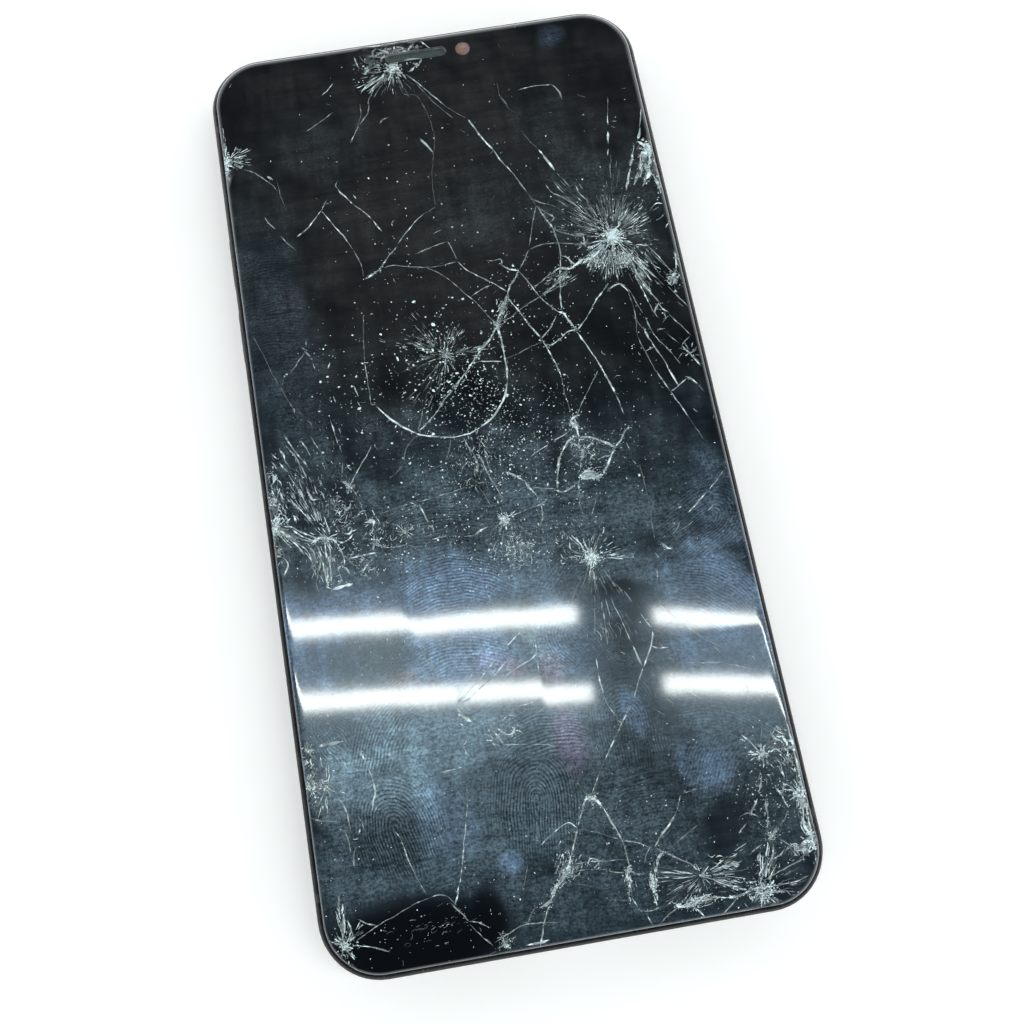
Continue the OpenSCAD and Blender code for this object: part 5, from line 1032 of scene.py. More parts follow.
# Shards standing out of the broken edges: middle, spread, how many, smallest and largest,
# brightness from and to
shardClouds = [
    ((37.1, 49.6), 0.7, 1.5, 60, 0.35, 1.1, 0.35, 1), ((36.4, 46.4), 0.8, 1.8, 40, 0.3, 0.9, 0.2, 0.9),
    ((37.5, 42.6), 0.4, 1.6, 24, 0.3, 0.8, 0.15, 0.6), ((37.2, -63.2), 0.7, 1.6, 70, 0.35, 1.2, 0.3, 1),
    ((37.2, -69.6), 0.6, 1.6, 50, 0.3, 1, 0.2, 0.95), ((37, -57), 0.6, 3, 50, 0.25, 0.8, 0.12, 0.8),
    ((35.8, -70.9), 1, 0.5, 34, 0.25, 0.8, 0.2, 0.9), ((-37.6, -8), 0.8, 1.9, 90, 0.3, 1.1, 0.3, 1),
    ((-37.3, -3.8), 0.5, 1.2, 34, 0.3, 0.8, 0.2, 0.8), ((-37.3, -12.6), 0.5, 1.6, 26, 0.3, 0.8, 0.15, 0.7),
    ((-37.3, 0.6), 0.4, 1.2, 22, 0.25, 0.6, 0.1, 0.6), ((-37.2, 60), 0.7, 1.2, 70, 0.3, 0.9, 0.35, 1),
    ((-37.6, 57.6), 0.4, 0.9, 26, 0.25, 0.6, 0.3, 1), ((-37, -49.4), 0.7, 1.5, 60, 0.3, 1, 0.2, 0.9),
    ((-37.6, -45), 0.4, 1.8, 26, 0.25, 0.7, 0.15, 0.8), ((-35.1, -73.4), 0.8, 0.9, 46, 0.25, 0.7, 0.3, 1),
    ((27.5, 33.9), 1.1, 1.1, 150, 0.3, 0.8, 0.55, 1), ((28.4, 29.2), 1.9, 1.3, 90, 0.2, 0.6, 0.2, 0.9),
    ((23.6, 30.2), 1.2, 1.2, 56, 0.2, 0.6, 0.2, 0.9), ((36.6, 24), 0.8, 1.5, 40, 0.25, 0.7, 0.15, 0.7),
    ((-5, 73.8), 1.2, 0.6, 70, 0.3, 0.8, 0.3, 1), ((-9.9, 74.2), 0.6, 0.6, 22, 0.3, 0.7, 0.15, 0.8),
    ((-4, 77.4), 3, 0.8, 60, 0.4, 1.2, 0.03, 0.34), ((-8.5, 75.8), 1.8, 0.9, 26, 0.6, 1.5, 0.02, 0.12),
    ((-0.9, 73.6), 0.3, 0.3, 10, 0.3, 0.7, 0.3, 0.9), ((12.8, -21.5), 0.9, 0.8, 60, 0.25, 0.7, 0.4, 1),
    ((0, -12.9), 0.7, 0.7, 40, 0.3, 0.8, 0.25, 0.85), ((28.2, -76.6), 1.3, 0.8, 60, 0.2, 0.6, 0.25, 1),
    ((17.6, -75.9), 1.3, 0.4, 36, 0.25, 0.7, 0.2, 0.9), ((12, -72.4), 0.3, 1, 34, 0.2, 0.6, 0.3, 0.95),
    ((5.4, -58.7), 0.6, 0.5, 26, 0.2, 0.6, 0.2, 0.8), ((8.9, -69.8), 0.4, 0.4, 20, 0.2, 0.6, 0.2, 0.8),
    ((31.3, -68.4), 0.8, 0.5, 26, 0.2, 0.6, 0.15, 0.7), ((32.6, -56.3), 0.8, 0.7, 36, 0.2, 0.5, 0.2, 0.85),
    ((-24.2, -3.2), 0.7, 0.7, 24, 0.25, 0.6, 0.15, 0.7), ((-29.6, -11.3), 0.9, 0.7, 30, 0.2, 0.5, 0.2, 0.7),
    ((15.4, -7.9), 1.2, 0.35, 30, 0.3, 0.8, 0.2, 0.9), ((-4.9, 16.9), 0.7, 0.7, 26, 0.2, 0.4, 0.15, 0.6),
]

fractureSet = {
    "stationGap": 0.22,       # distance between stations along a fracture
    "wander": 0.06,           # how far it strays from its route
    "height": 0.028,          # how far the broken edge stands up
    "depth": 0.05,            # how far its root reaches into the glass
    "thin": 0.84,             # share of the stated width that is left on average
    "rayThin": 0.62,          # the same for rays
}


def smoothRoute(route, gap):
    # Catmull-Rom curve through the route's points, laid on the glass and sampled about every gap
    p = onGlass(np.reshape(route, (-1, 2)))
    ends = np.vstack([2 * p[0] - p[1], p, 2 * p[-1] - p[-2]])
    out = []
    for a, b, c, d in zip(ends[:-3], ends[1:-2], ends[2:-1], ends[3:]):
        t = np.linspace(0, 1, max(2, int(np.hypot(*(c - b)) / gap)), endpoint=False)[:, None]
        out.append(0.5 * (2 * b + (c - a) * t + (2 * a - 5 * b + 4 * c - d) * t ** 2
                          + (3 * b - a - 3 * c + d) * t ** 3))
    return np.vstack(out + [p[-1:]])


def rough1d(count, step, random):
    # random values every step stations, joined by straight lines, range 0 to 1
    knots = random.random(count // step + 3)
    return np.interp(np.arange(count) / step, np.arange(len(knots)), knots)


def sliverPoints(paths, widths, heights):
    # slivers along paths (n, stations, 2): each station is a four-cornered ring of left side,
    # crest, right side and root; the crest stands on the glass's surface
    run = np.gradient(paths, axis=1)
    side = np.stack([-run[..., 1], run[..., 0]], axis=-1)
    side /= np.maximum(np.linalg.norm(side, axis=-1, keepdims=True), 1e-9)
    level = glassHeight(paths[..., 0], paths[..., 1])
    half = side * widths[..., None] / 2
    ring = np.zeros((*paths.shape[:2], 4, 3))
    for corner, (share, z) in enumerate(((1, 0.004), (0, None), (-1, 0.004), (0, -fractureSet["depth"]))):
        ring[..., corner, :2] = paths + share * half
        ring[..., corner, 2] = level + (heights if z is None else z)
    ring[..., 1, :2] += half * 0.3
    return ring


def sliverFaces(count, stations, start=0):
    # each sliver is a four-sided tube with both ends closed
    tube = np.concatenate([gridFaces(stations, 4, True, start + i * stations * 4) for i in range(count)])
    first = start + np.arange(count) * stations * 4
    caps = np.concatenate([first[:, None] + np.array([[3, 2, 1, 0]]),
                           first[:, None] + (stations - 1) * 4 + np.array([[0, 1, 2, 3]])])
    return tube[:, ::-1], caps[:, ::-1]


def fractureFinish():
    # broken edges: white-green where they catch light, nearly the glass's black where they don't
    r = Recipe("brokenEdge")
    shine = r.math("MULTIPLY", r.mark("shine"), r.spread(r.noise(2200, 2, 0.6), 0.3, 0.7, 0.7, 1.25))
    colour = r.blend(shine, (0.012, 0.018, 0.020), (0.80, 0.97, 1.0))
    r.set(Base_Color=colour, Roughness=0.42, Specular_IOR_Level=0.4)
    r.bump(r.noise(5200, 2, 0.5), 0.5, 0.00003)
    return r.material


def makeFractures():
    random = np.random.default_rng(31)
    points, tubes, caps, shines = [], [], [], []
    start = 0
    for shine, width, route, *_ in fractures:
        path = smoothRoute(route, fractureSet["stationGap"])
        n = len(path)
        along = np.arange(n)
        run = np.gradient(path, axis=0)
        side = np.stack([-run[:, 1], run[:, 0]], axis=-1) / np.maximum(np.hypot(*run.T), 1e-9)[:, None]
        stray = (rough1d(n, 3, random) + rough1d(n, 7, random) - 1) * fractureSet["wander"] * 2
        path = path + side * (stray * np.sin(np.pi * along / (n - 1)))[:, None]
        taper = np.clip(np.minimum(along, n - 1 - along) / 3.0, 0.12, 1)
        broad = width * fractureSet["thin"] * (0.40 + 1.2 * rough1d(n, 3, random)) * taper
        tall = fractureSet["height"] * (0.4 + rough1d(n, 2, random)) * taper
        points.append(sliverPoints(path[None], broad[None], tall[None]).reshape(-1, 3))
        tube, cap = sliverFaces(1, n, start)
        tubes.append(tube)
        caps.append(cap)
        glow = shine * (0.24 + 0.75 * rough1d(n, 6, random)) + 1.1 * shine * (rough1d(n, 2, random) > 0.72)
        shines.append(np.repeat(np.clip(glow, 0, 1), 4))
        start += n * 4
    putMesh("fractureLines", np.concatenate(points), [np.concatenate(tubes), np.concatenate(caps)],
            fractureFinish(), smooth=False, marks={"shine": np.concatenate(shines)})
    print("fractures:", len(fractures))


def makeRays():
    # a ray begins and ends at random within its fan, bowed a little and pointed at both ends;
    # a craze is a straight bit at random about its patch's middle
    random = np.random.default_rng(57)
    stations = 6
    t = np.linspace(0, 1, stations)
    paths, widths, heights, shines = [], [], [], []

    def keep(x, y, width, shine):
        n = len(x)
        paths.append(np.stack([x, y], axis=-1))
        fat = width * fractureSet["rayThin"] * random.uniform(0.4, 1.2, n)
        pointed = np.sin(np.pi * (0.08 + 0.86 * t)) ** 0.6
        widths.append(fat[:, None] * pointed * random.uniform(0.6, 1.3, (n, stations)))
        heights.append(fractureSet["height"] * random.uniform(0.4, 1.2, (n, stations)))
        glow = shine * (0.13 + 1.9 * random.random(n) ** 3)
        shines.append(np.clip(glow[:, None] * random.uniform(0.3, 1.7, (n, stations)), 0, 1))

    fans = [(place, *fan) for place, blow in rayFans for fan in blow]
    for place, near, far, fromAngle, toAngle, count, longest, width, shine in fans:
        cx, cy = onGlass(place)
        angle = np.radians(random.uniform(fromAngle, toAngle, count))
        ragged = sum(np.sin(k * angle + p) for k, p in zip((5, 11, 19, 31), random.uniform(0, 6.3, 4))) / 4
        reach = near + (far - near) * np.clip(0.72 + 0.55 * ragged, 0.2, 1)
        begin = near + (reach - near) * random.random(count) ** 1.5 * 0.92
        length = np.minimum(reach - begin, longest * random.uniform(0.15, 1.0, count)) + 0.15
        bow = random.normal(0, 0.09, count)
        radius = begin[:, None] + length[:, None] * t
        turn = angle[:, None] + bow[:, None] * (radius - begin[:, None]) / far
        turn += random.normal(0, 0.03, (count, stations)) / radius + random.normal(0, 0.05, count)[:, None]
        keep(cx + radius * np.cos(turn), cy + radius * np.sin(turn), width, shine)
    for place, sx, sy, count, longest, fromAngle, toAngle, width, shine in crazes:
        cx, cy = onGlass(place)
        angle = np.radians(random.uniform(fromAngle, toAngle, count))[:, None]
        length = longest * random.uniform(0.15, 1.0, count)[:, None]
        bend = random.normal(0, 0.5, count)[:, None]
        u, v = length * (t - 0.5), length * bend * (t - 0.5) ** 2
        x = random.normal(cx, sx * 0.6, count)[:, None] + u * np.cos(angle) - v * np.sin(angle)
        y = random.normal(cy, sy * 0.6, count)[:, None] + u * np.sin(angle) + v * np.cos(angle)
        keep(x, y, width, shine)
    paths, widths, heights, shines = (np.concatenate(a) for a in (paths, widths, heights, shines))
    inside = outlineGap(paths[..., 0], paths[..., 1]).min(axis=1) > 0.15
    inside &= slotGap(paths[..., 0], paths[..., 1], earpiece)[0].min(axis=1) > 0.05
    paths, widths, heights, shines = (a[inside] for a in (paths, widths, heights, shines))
    points = sliverPoints(paths, widths, heights).reshape(-1, 3)
    tube, cap = sliverFaces(len(paths), stations)
    putMesh("blowRays", points, [tube, cap], bpy.data.materials["brokenEdge"], smooth=False,
            marks={"shine": np.repeat(shines.reshape(-1), 4)})
    print("rays:", len(paths))


def makeShards():
    # a shard: five corners at random about a middle, tilted a little, with a root point below
    random = np.random.default_rng(61)
    x, y, size, shine = [], [], [], []
    for place, sx, sy, count, smallest, largest, low, high in shardClouds:
        cx, cy = onGlass(place)
        x.append(random.normal(cx, sx * 0.6, count))
        y.append(random.normal(cy, sy * 0.6, count))
        size.append(smallest + (largest - smallest) * random.random(count) ** 1.6)
        shine.append(low * 0.5 + (high - low * 0.5) * random.random(count) ** 1.7)
    x, y, size, shine = (np.concatenate(a) for a in (x, y, size, shine))
    gap = outlineGap(x, y)
    size = np.minimum(size, 2 * np.maximum(gap - 0.1, 0.05))
    keep = (gap > 0.12) & (slotGap(x, y, earpiece)[0] > 0.3)
    x, y, size, shine = x[keep], y[keep], size[keep], shine[keep]
    n = len(x)
    angle = np.sort(random.uniform(0, 2 * np.pi, (n, 5)), axis=1)
    radius = size[:, None] / 2 * random.uniform(0.6, 1.2, (n, 5))
    px = x[:, None] + radius * np.cos(angle)
    py = y[:, None] + radius * np.sin(angle) * random.uniform(0.5, 1.0, n)[:, None]
    tilt = random.normal(0, 0.05, (n, 2))
    points = np.zeros((n, 6, 3))
    points[:, :5, 0], points[:, :5, 1] = px, py
    lift = 0.012 + np.abs(tilt[:, :1] * (px - x[:, None]) + tilt[:, 1:] * (py - y[:, None]))
    points[:, :5, 2] = glassHeight(px, py) + lift
    points[:, 5, 0], points[:, 5, 1], points[:, 5, 2] = x, y, glassHeight(x, y) - 0.08
    tops = np.arange(n)[:, None] * 6 + np.arange(5)
    sides = np.stack([(np.arange(5) + 1) % 5, np.arange(5), np.full(5, 5)], axis=-1)
    sides = (np.arange(n)[:, None, None] * 6 + sides[None]).reshape(-1, 3)
    putMesh("edgeShards", points.reshape(-1, 3), [tops, sides], bpy.data.materials["brokenEdge"],
            smooth=False, marks={"shine": np.repeat(shine, 6)})
    print("shards:", n)


# Loose specks: middle, spread in x and y, how many, largest size
speckClouds = [
    ((-1, 9), 7, 5, 260, 0.32), ((2, 2), 11, 6, 240, 0.28), ((-8, 14), 12, 11, 170, 0.46),
    ((-5, 17), 6, 6, 90, 0.5), ((-20, 12), 9, 14, 70, 0.5), ((2, -4), 14, 8, 170, 0.36),
    ((-12, -12), 13, 9, 150, 0.36), ((8, 16), 12, 12, 80, 0.4), ((-4, 14), 8, 9, 150, 0.28),
    ((0, -5), 12, 6, 260, 0.22), ((8, 4), 9, 7, 150, 0.24), ((14, -6), 9, 7, 130, 0.24),
    ((-20, 14), 9, 10, 90, 0.34), ((-26, -14), 8, 6, 170, 0.24), ((-12, -12), 10, 6, 170, 0.22),
    ((1, -19), 7, 4, 230, 0.28), ((10, -14), 9, 6, 100, 0.22), ((26, 34), 9, 9, 240, 0.26),
    ((28, 12), 6, 9, 50, 0.24), ((24, -8), 9, 9, 60, 0.26), ((0, 55), 24, 14, 60, 0.32),
    ((-12, 40), 16, 14, 46, 0.32), ((8, 24), 12, 9, 90, 0.26), ((-24, -30), 9, 5, 100, 0.18),
    ((-10, -60), 22, 12, 110, 0.22), ((20, -60), 14, 10, 100, 0.22), ((32, -62), 4, 7, 150, 0.24),
    ((26, -75), 6, 2.5, 130, 0.26), ((10, -68), 8, 6, 60, 0.22), ((-34, -60), 3.5, 12, 60, 0.2),
    ((0, 0), 40, 80, 150, 0.24), ((-26, -73), 8, 4, 40, 0.2), ((-6, 73), 6, 2.5, 90, 0.24),
    ((-31, -2), 6, 8, 90, 0.22), ((14, -21), 7, 4, 60, 0.22), ((-34, -45), 3, 6, 40, 0.2),
    ((5, -72), 30, 5, 60, 0.2),
]


def grainMesh(name, x, y, size, shine, random, sink=0.03):
    # a grain: ring of six at random radii, a top point off its middle and a root point below
    n = len(x)
    angle = np.linspace(0, 2 * np.pi, 6, endpoint=False) + random.uniform(0, 2 * np.pi, (n, 1))
    radius = size[:, None] / 2 * random.uniform(0.55, 1.15, (n, 6))
    slim = random.uniform(0.35, 0.9, n)[:, None]
    heading = random.normal(0, 0.7, n)[:, None]
    u, v = radius * np.cos(angle), radius * np.sin(angle) * slim
    px = x[:, None] + u * np.cos(heading) - v * np.sin(heading)
    py = y[:, None] + u * np.sin(heading) + v * np.cos(heading)
    level = glassHeight(x, y)
    points = np.zeros((n, 8, 3))
    points[:, :6, 0], points[:, :6, 1] = px, py
    points[:, :6, 2] = (level + 0.004)[:, None]
    points[:, 6, 0] = x + size * random.uniform(-0.2, 0.2, n)
    points[:, 6, 1] = y + size * random.uniform(-0.2, 0.2, n)
    points[:, 6, 2] = level + np.minimum(size * random.uniform(0.12, 0.4, n), 0.08)
    points[:, 7, 0], points[:, 7, 1], points[:, 7, 2] = x, y, level - sink
    ring = np.arange(6)
    after = (ring + 1) % 6
    caps = np.stack([ring, after, np.full(6, 6)], axis=-1)
    roots = np.stack([after, ring, np.full(6, 7)], axis=-1)
    faces = (np.arange(n)[:, None, None] * 8 + np.concatenate([caps, roots])[None]).reshape(-1, 3)
    putMesh(name, points.reshape(-1, 3), [faces], bpy.data.materials["brokenEdge"], smooth=False,
            marks={"shine": np.repeat(shine, 8)})


def makeDust():
    random = np.random.default_rng(83)
    x, y, size, shine = [], [], [], []
    for place, sx, sy, count, largest in speckClouds:
        cx, cy = onGlass(place)
        x.append(random.normal(cx, sx * 0.62, count))
        y.append(random.normal(cy, sy * 0.62, count))
        grown = random.random(count) ** 2.4 * 1.3 + random.random(count) ** 20 * 1.1
        size.append(0.10 + (largest - 0.07) * grown)
        shine.append(0.25 + 0.85 * random.random(count) ** 0.7)
    for glow, width, route, *crumbs in fractures:
        path = smoothRoute(route, 0.2)
        count = int(sum(crumbs) * len(path) * 0.2 * 1.6)
        if count:
            spot = path[random.integers(0, len(path), count)]
            spot = spot + random.normal(0, 0.10 + width * 0.45, (count, 2))
            x.append(spot[:, 0])
            y.append(spot[:, 1])
            size.append(random.uniform(0.08, 0.28, count))
            shine.append(glow * random.uniform(0.5, 1.4, count))
    x, y, size, shine = (np.concatenate(a) for a in (x, y, size, shine))
    keep = (outlineGap(x, y) > 0.25) & (slotGap(x, y, earpiece)[0] > 0.12)
    grainMesh("glassDust", x[keep], y[keep], size[keep], np.clip(shine[keep], 0, 1), random)
    print("specks:", int(keep.sum()))


# Heaps of crushed glass: middle, radius, how many grains, brightness
heaps = [
    ((27.5, 33.9), 1.35, 760, 2.6), ((28.9, 29.4), 1.9, 190, 0.75), ((23.6, 30), 1.6, 130, 0.75),
    ((22.3, 33.4), 0.7, 80, 0.7), ((-37.3, 60), 1, 300, 2), ((-37.6, 57.6), 0.6, 110, 0.9),
    ((-5.1, 73.7), 1.1, 300, 1.7), ((-9.9, 73.8), 0.5, 50, 0.8), ((-7, 71.6), 0.9, 80, 0.5),
    ((-4.8, 17), 0.8, 120, 0.55), ((-37.6, -8.2), 1.4, 360, 1.8), ((-37.2, -3.9), 0.9, 110, 0.7),
    ((-29.5, -11.3), 1, 120, 0.6), ((0.1, -13), 0.9, 170, 1.4), ((12.8, -21.5), 1.5, 430, 2.1),
    ((-16.4, -12.3), 0.7, 90, 0.6), ((-24.3, -3.2), 0.8, 90, 0.55), ((-34.6, -50.2), 0.7, 100, 0.75),
    ((-37.2, -49.7), 1.2, 220, 0.8), ((-35.1, -73.4), 1, 220, 0.8), ((32.6, -56.4), 0.8, 130, 0.75),
    ((19.7, -72.3), 0.6, 60, 0.6), ((28.2, -76.5), 1.3, 190, 0.9), ((17.6, -75.9), 1.3, 110, 0.85),
    ((37.2, -63), 1.1, 150, 0.95), ((37.2, -70.2), 1, 130, 0.9), ((37.2, 49.6), 1.1, 200, 1.5),
    ((36.2, 46), 1, 110, 0.7), ((36.7, 24.4), 0.9, 40, 0.6), ((4.8, 20.9), 0.7, 110, 0.6),
    ((6.6, 24.6), 0.8, 100, 0.6), ((5.2, -58.5), 0.6, 90, 0.75), ((12, -72.3), 0.7, 130, 0.8),
    ((8.8, -69.8), 0.5, 80, 0.7), ((31.3, -68.5), 0.8, 50, 0.6), ((-0.4, -68.6), 1.6, 150, 0.65),
    ((15.3, -8), 1.1, 120, 0.7), ((14.3, 1), 0.6, 40, 0.6), ((-11.2, -77.2), 0.8, 80, 0.7),
]


def makeCrushed():
    # crushed glass piled on each blow: distance from the middle falls off as a half bell curve
    random = np.random.default_rng(97)
    x, y, size, shine = [], [], [], []
    for place, core, grains, glow in heaps:
        cx, cy = onGlass(place)
        far = np.abs(random.normal(0, core * 0.62, grains))
        angle = random.uniform(0, 2 * np.pi, grains)
        x.append(cx + far * np.cos(angle))
        y.append(cy + far * np.sin(angle))
        size.append((0.12 + 0.40 * random.random(grains) ** 1.8) * (1.15 - 0.5 * np.clip(far / core, 0, 1)))
        shine.append(glow * (0.12 + 1.2 * random.random(grains) ** 1.7) * np.exp(-(far / core / 1.9) ** 2))
    x, y, size, shine = (np.concatenate(a) for a in (x, y, size, shine))
    keep = (outlineGap(x, y) > 0.2) & (slotGap(x, y, earpiece)[0] > 0.12)
    grainMesh("crushedGlass", x[keep], y[keep], size[keep], np.clip(shine[keep], 0, 1), random, 0.06)
    print("crushed grains:", int(keep.sum()))


makeFractures()
makeRays()
makeShards()
makeDust()
makeCrushed()


# finishes of the carried-over parts

# name: colour, second colour, roughness range, metal, pattern scale, bump depth in mm, kind
finishes = {
    "front_glass": ((0.01, 0.012, 0.013), (0.02, 0.024, 0.026), (0.05, 0.15), 0, 300, 0.001, "plain"),
    "bezel": ((0.006, 0.006, 0.007), (0.014, 0.014, 0.016), (0.30, 0.48), 0, 900, 0.004, "plain"),
    "display": ((0.006, 0.007, 0.009), (0.012, 0.014, 0.018), (0.08, 0.20), 0, 200, 0.001, "plain"),
    "steel": ((0.42, 0.43, 0.45), (0.56, 0.57, 0.59), (0.26, 0.42), 1, 60, 0.003, "brushed"),
    "seal": ((0.008, 0.008, 0.008), (0.02, 0.02, 0.02), (0.55, 0.8), 0, 700, 0.01, "plain"),
    "flex": ((0.33, 0.13, 0.02), (0.50, 0.24, 0.05), (0.22, 0.38), 0, 240, 0.004, "traces"),
    "mesh": ((0.10, 0.11, 0.12), (0.22, 0.24, 0.25), (0.35, 0.55), 1, 2600, 0.05, "woven"),
    "black_part": ((0.015, 0.015, 0.016), (0.03, 0.03, 0.032), (0.42, 0.6), 0, 1400, 0.008, "plain"),
    # lens_ring: painted with the orange-pink reflection of the front camera's filter
    "lens_ring": ((0.47, 0.25, 0.19), (0.60, 0.37, 0.29), (0.32, 0.5), 0.3, 800, 0.003, "plain"),
    "band": ((0.008, 0.009, 0.010), (0.016, 0.018, 0.019), (0.20, 0.36), 0.55, 420, 0.003, "worn"),
    "antenna": ((0.018, 0.018, 0.020), (0.034, 0.034, 0.037), (0.36, 0.5), 0, 900, 0.003, "plain"),
    "rear_glass": ((0.008, 0.010, 0.012), (0.016, 0.019, 0.022), (0.08, 0.22), 0, 120, 0.001, "worn"),
    "rear_ring": ((0.09, 0.095, 0.105), (0.16, 0.165, 0.18), (0.22, 0.38), 1, 300, 0.003, "turned"),
    "lens": ((0.004, 0.004, 0.006), (0.010, 0.010, 0.016), (0.03, 0.08), 0, 200, 0.0005, "plain"),
    "flash": ((0.72, 0.66, 0.46), (0.86, 0.82, 0.66), (0.18, 0.34), 0, 1600, 0.03, "turned"),
    "led": ((0.80, 0.58, 0.10), (0.92, 0.76, 0.24), (0.3, 0.45), 0, 1500, 0.01, "plain"),
    "battery": ((0.022, 0.022, 0.025), (0.040, 0.040, 0.044), (0.34, 0.5), 0.2, 160, 0.02, "plain"),
    "tape": ((0.66, 0.66, 0.60), (0.82, 0.82, 0.78), (0.6, 0.8), 0, 700, 0.02, "plain"),
    "board": ((0.008, 0.060, 0.042), (0.016, 0.105, 0.075), (0.22, 0.4), 0, 500, 0.01, "traces"),
    "can": ((0.50, 0.51, 0.53), (0.64, 0.65, 0.67), (0.24, 0.4), 1, 260, 0.004, "brushed"),
    "screw": ((0.40, 0.40, 0.42), (0.58, 0.58, 0.60), (0.24, 0.38), 1, 900, 0.006, "turned"),
    "coil": ((0.50, 0.24, 0.09), (0.64, 0.34, 0.15), (0.28, 0.42), 1, 1600, 0.05, "turned"),
    "ferrite": ((0.05, 0.05, 0.055), (0.09, 0.09, 0.10), (0.5, 0.7), 0, 300, 0.01, "plain"),
    "card": ((0.62, 0.46, 0.14), (0.80, 0.64, 0.28), (0.26, 0.42), 1, 600, 0.01, "traces"),
    "ceramic_part": ((0.60, 0.58, 0.52), (0.74, 0.72, 0.66), (0.3, 0.5), 0, 900, 0.006, "plain"),
}


def partFinish(slotName):
    # two tones mixed by noise; roughness follows the same noise; the kind adds its own pattern
    dark, light, (smooth, rough), metal, scale, depth, kind = finishes[slotName]
    r = Recipe(slotName.replace("_", "") + "Finish")
    cloud = r.noise(scale, 5, 0.6)
    pattern = cloud
    if kind == "brushed":
        pattern = r.noise(1.0, 4, 0.6, r.stretch((scale * 2, scale * 60, scale * 20)))
    elif kind == "turned":
        pattern = r.noise(scale, 3, 0.6, r.stretch((1, 1, 6)))
    elif kind == "woven":
        pattern = r.cells(scale * 2)
    elif kind == "traces":
        pattern = r.spread(r.noise(1.0, 1, 0.4, r.stretch((scale * 8, scale, scale))), 0.46, 0.54)
    tone = r.blend(r.spread(pattern, 0.35, 0.65), dark, light)
    roughness = r.spread(cloud, 0.3, 0.7, smooth, rough)
    if kind == "worn":      # fine scratches and rubbed spots
        scratch = r.spread(r.noise(1.0, 2, 0.5, r.stretch((4000, 90, 900), (0, 0, 0.7))), 0.66, 0.74)
        rubbed = r.spread(r.noise(scale * 0.35, 6, 0.7), 0.58, 0.75)
        wear = r.math("MAXIMUM", r.math("MULTIPLY", scratch, 0.5), r.math("MULTIPLY", rubbed, 0.35))
        tone = r.blend(wear, tone, tuple(min(1.0, 5 * c) for c in light))
        roughness = r.math("MULTIPLY_ADD", wear, 0.2, roughness)
    r.set(Base_Color=tone, Roughness=roughness, Metallic=metal,
          Specular_IOR_Level=0.22 if slotName in ("band", "antenna", "bezel") else 0.5)
    r.bump(pattern, 0.4, depth * mm)
    return r.material


slotOf = {row["node"]: row["material_slot"] for row in frame["record"]["subparts"]}
finishOf = {name: partFinish(name) for name in finishes}
for node, piece in frame["nodes"].items():
    piece.data.materials.clear()
    piece.data.materials.append(finishOf[slotOf[node]])
print("finishes:", len(finishOf))


# the back

backBox = [np.array(corner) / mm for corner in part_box("rear_cover")]
back = {
    "halfWidth": backBox[1][0], "halfLength": backBox[1][1], "cornerRadius": 8.2,
    "edgeWidth": 0.9, "edgeDrop": 0.34, "step": 1.1,
    "ring": {"x": 25.0, "y": 62.0, "half": 0.0, "tall": 7.5, "radius": 6.5},
    "flash": {"x": 25.0, "y": 43.5, "half": 0.0, "radius": 2.5},
    "mic": {"x": 19.0, "y": 47.0, "half": 0.0, "radius": 0.4},
}


def makeBack():
    # the glass plate's outer face: rounded edge as a quarter ellipse, slow waves, and holes
    # for the camera ring, the flash and the microphone
    halfWidth, halfLength, r = back["halfWidth"], back["halfLength"], back["cornerRadius"]
    rows = cornerRows(halfLength, r, back["step"],
                      [np.linspace(40.4, 46.1, 24), np.linspace(46.2, 47.8, 13), np.linspace(48, 70, 41)])
    shares = edgeColumns(halfWidth, back["step"],
                         [np.linspace(0.487, 0.529, 13), np.linspace(0.545, 0.86, 48)])
    slots = [(back["ring"], 0.65), (back["flash"], 0.22), (back["mic"], 0.08)]
    x, y, faces, rim = plateGrid(halfWidth, halfLength, r, rows, shares, slots)
    gap = np.clip(outlineGap(x, y, back) / back["edgeWidth"], 0, 1)
    z = back["edgeDrop"] * (1 - np.sqrt(1 - (1 - gap) ** 2)) + 0.0012 * (1 + wavyNoise(x, y, 30, 71))
    outer = np.stack([x, y, z], axis=-1)
    inner = outer.copy()
    inner[:, 2] = backBox[1][2]
    n = len(outer)
    points = np.concatenate([outer, inner])
    skirt = np.stack([rim, np.roll(rim, -1), np.roll(rim, -1) + n, rim + n], axis=-1)[:, ::-1]
    b = Recipe("rubbedBackGlass")
    smudge = b.spread(b.noise(45, 6, 0.65, warp=0.4), 0.42, 0.66)
    # scratches in three headings, fewer where the glass was seldom rubbed
    rubbed = b.spread(b.noise(38, 3, 0.6), 0.40, 0.62, 0.15, 1.0)
    lines = 0.0
    for heading, narrow in ((0.45, 2600), (-0.85, 3100), (1.35, 2300)):
        aslant = b.stretch((1, 1, 1), (0, 0, heading))
        fine = b.spread(b.noise(1.0, 2, 0.5, b.stretch((narrow, 42, 60), where=aslant)), 0.66, 0.76)
        lines = b.math("MAXIMUM", lines, fine)
    lines = b.math("MULTIPLY", lines, rubbed)
    plain = b.blend(smudge, (0.006, 0.007, 0.008), (0.020, 0.024, 0.028))
    tone = b.blend(b.math("MULTIPLY", lines, 0.35), plain, (0.16, 0.17, 0.18))
    b.set(Base_Color=tone, Roughness=b.spread(smudge, 0.0, 1.0, 0.10, 0.30), Coat_Weight=0.8,
          Coat_Roughness=0.05)
    b.bump(lines, 0.2, 0.00001)
    piece = putMesh("backGlass", points, [faces[:, ::-1], faces + n, skirt], b.material)
    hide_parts("rear_cover")
    print("back:", len(faces), "faces")


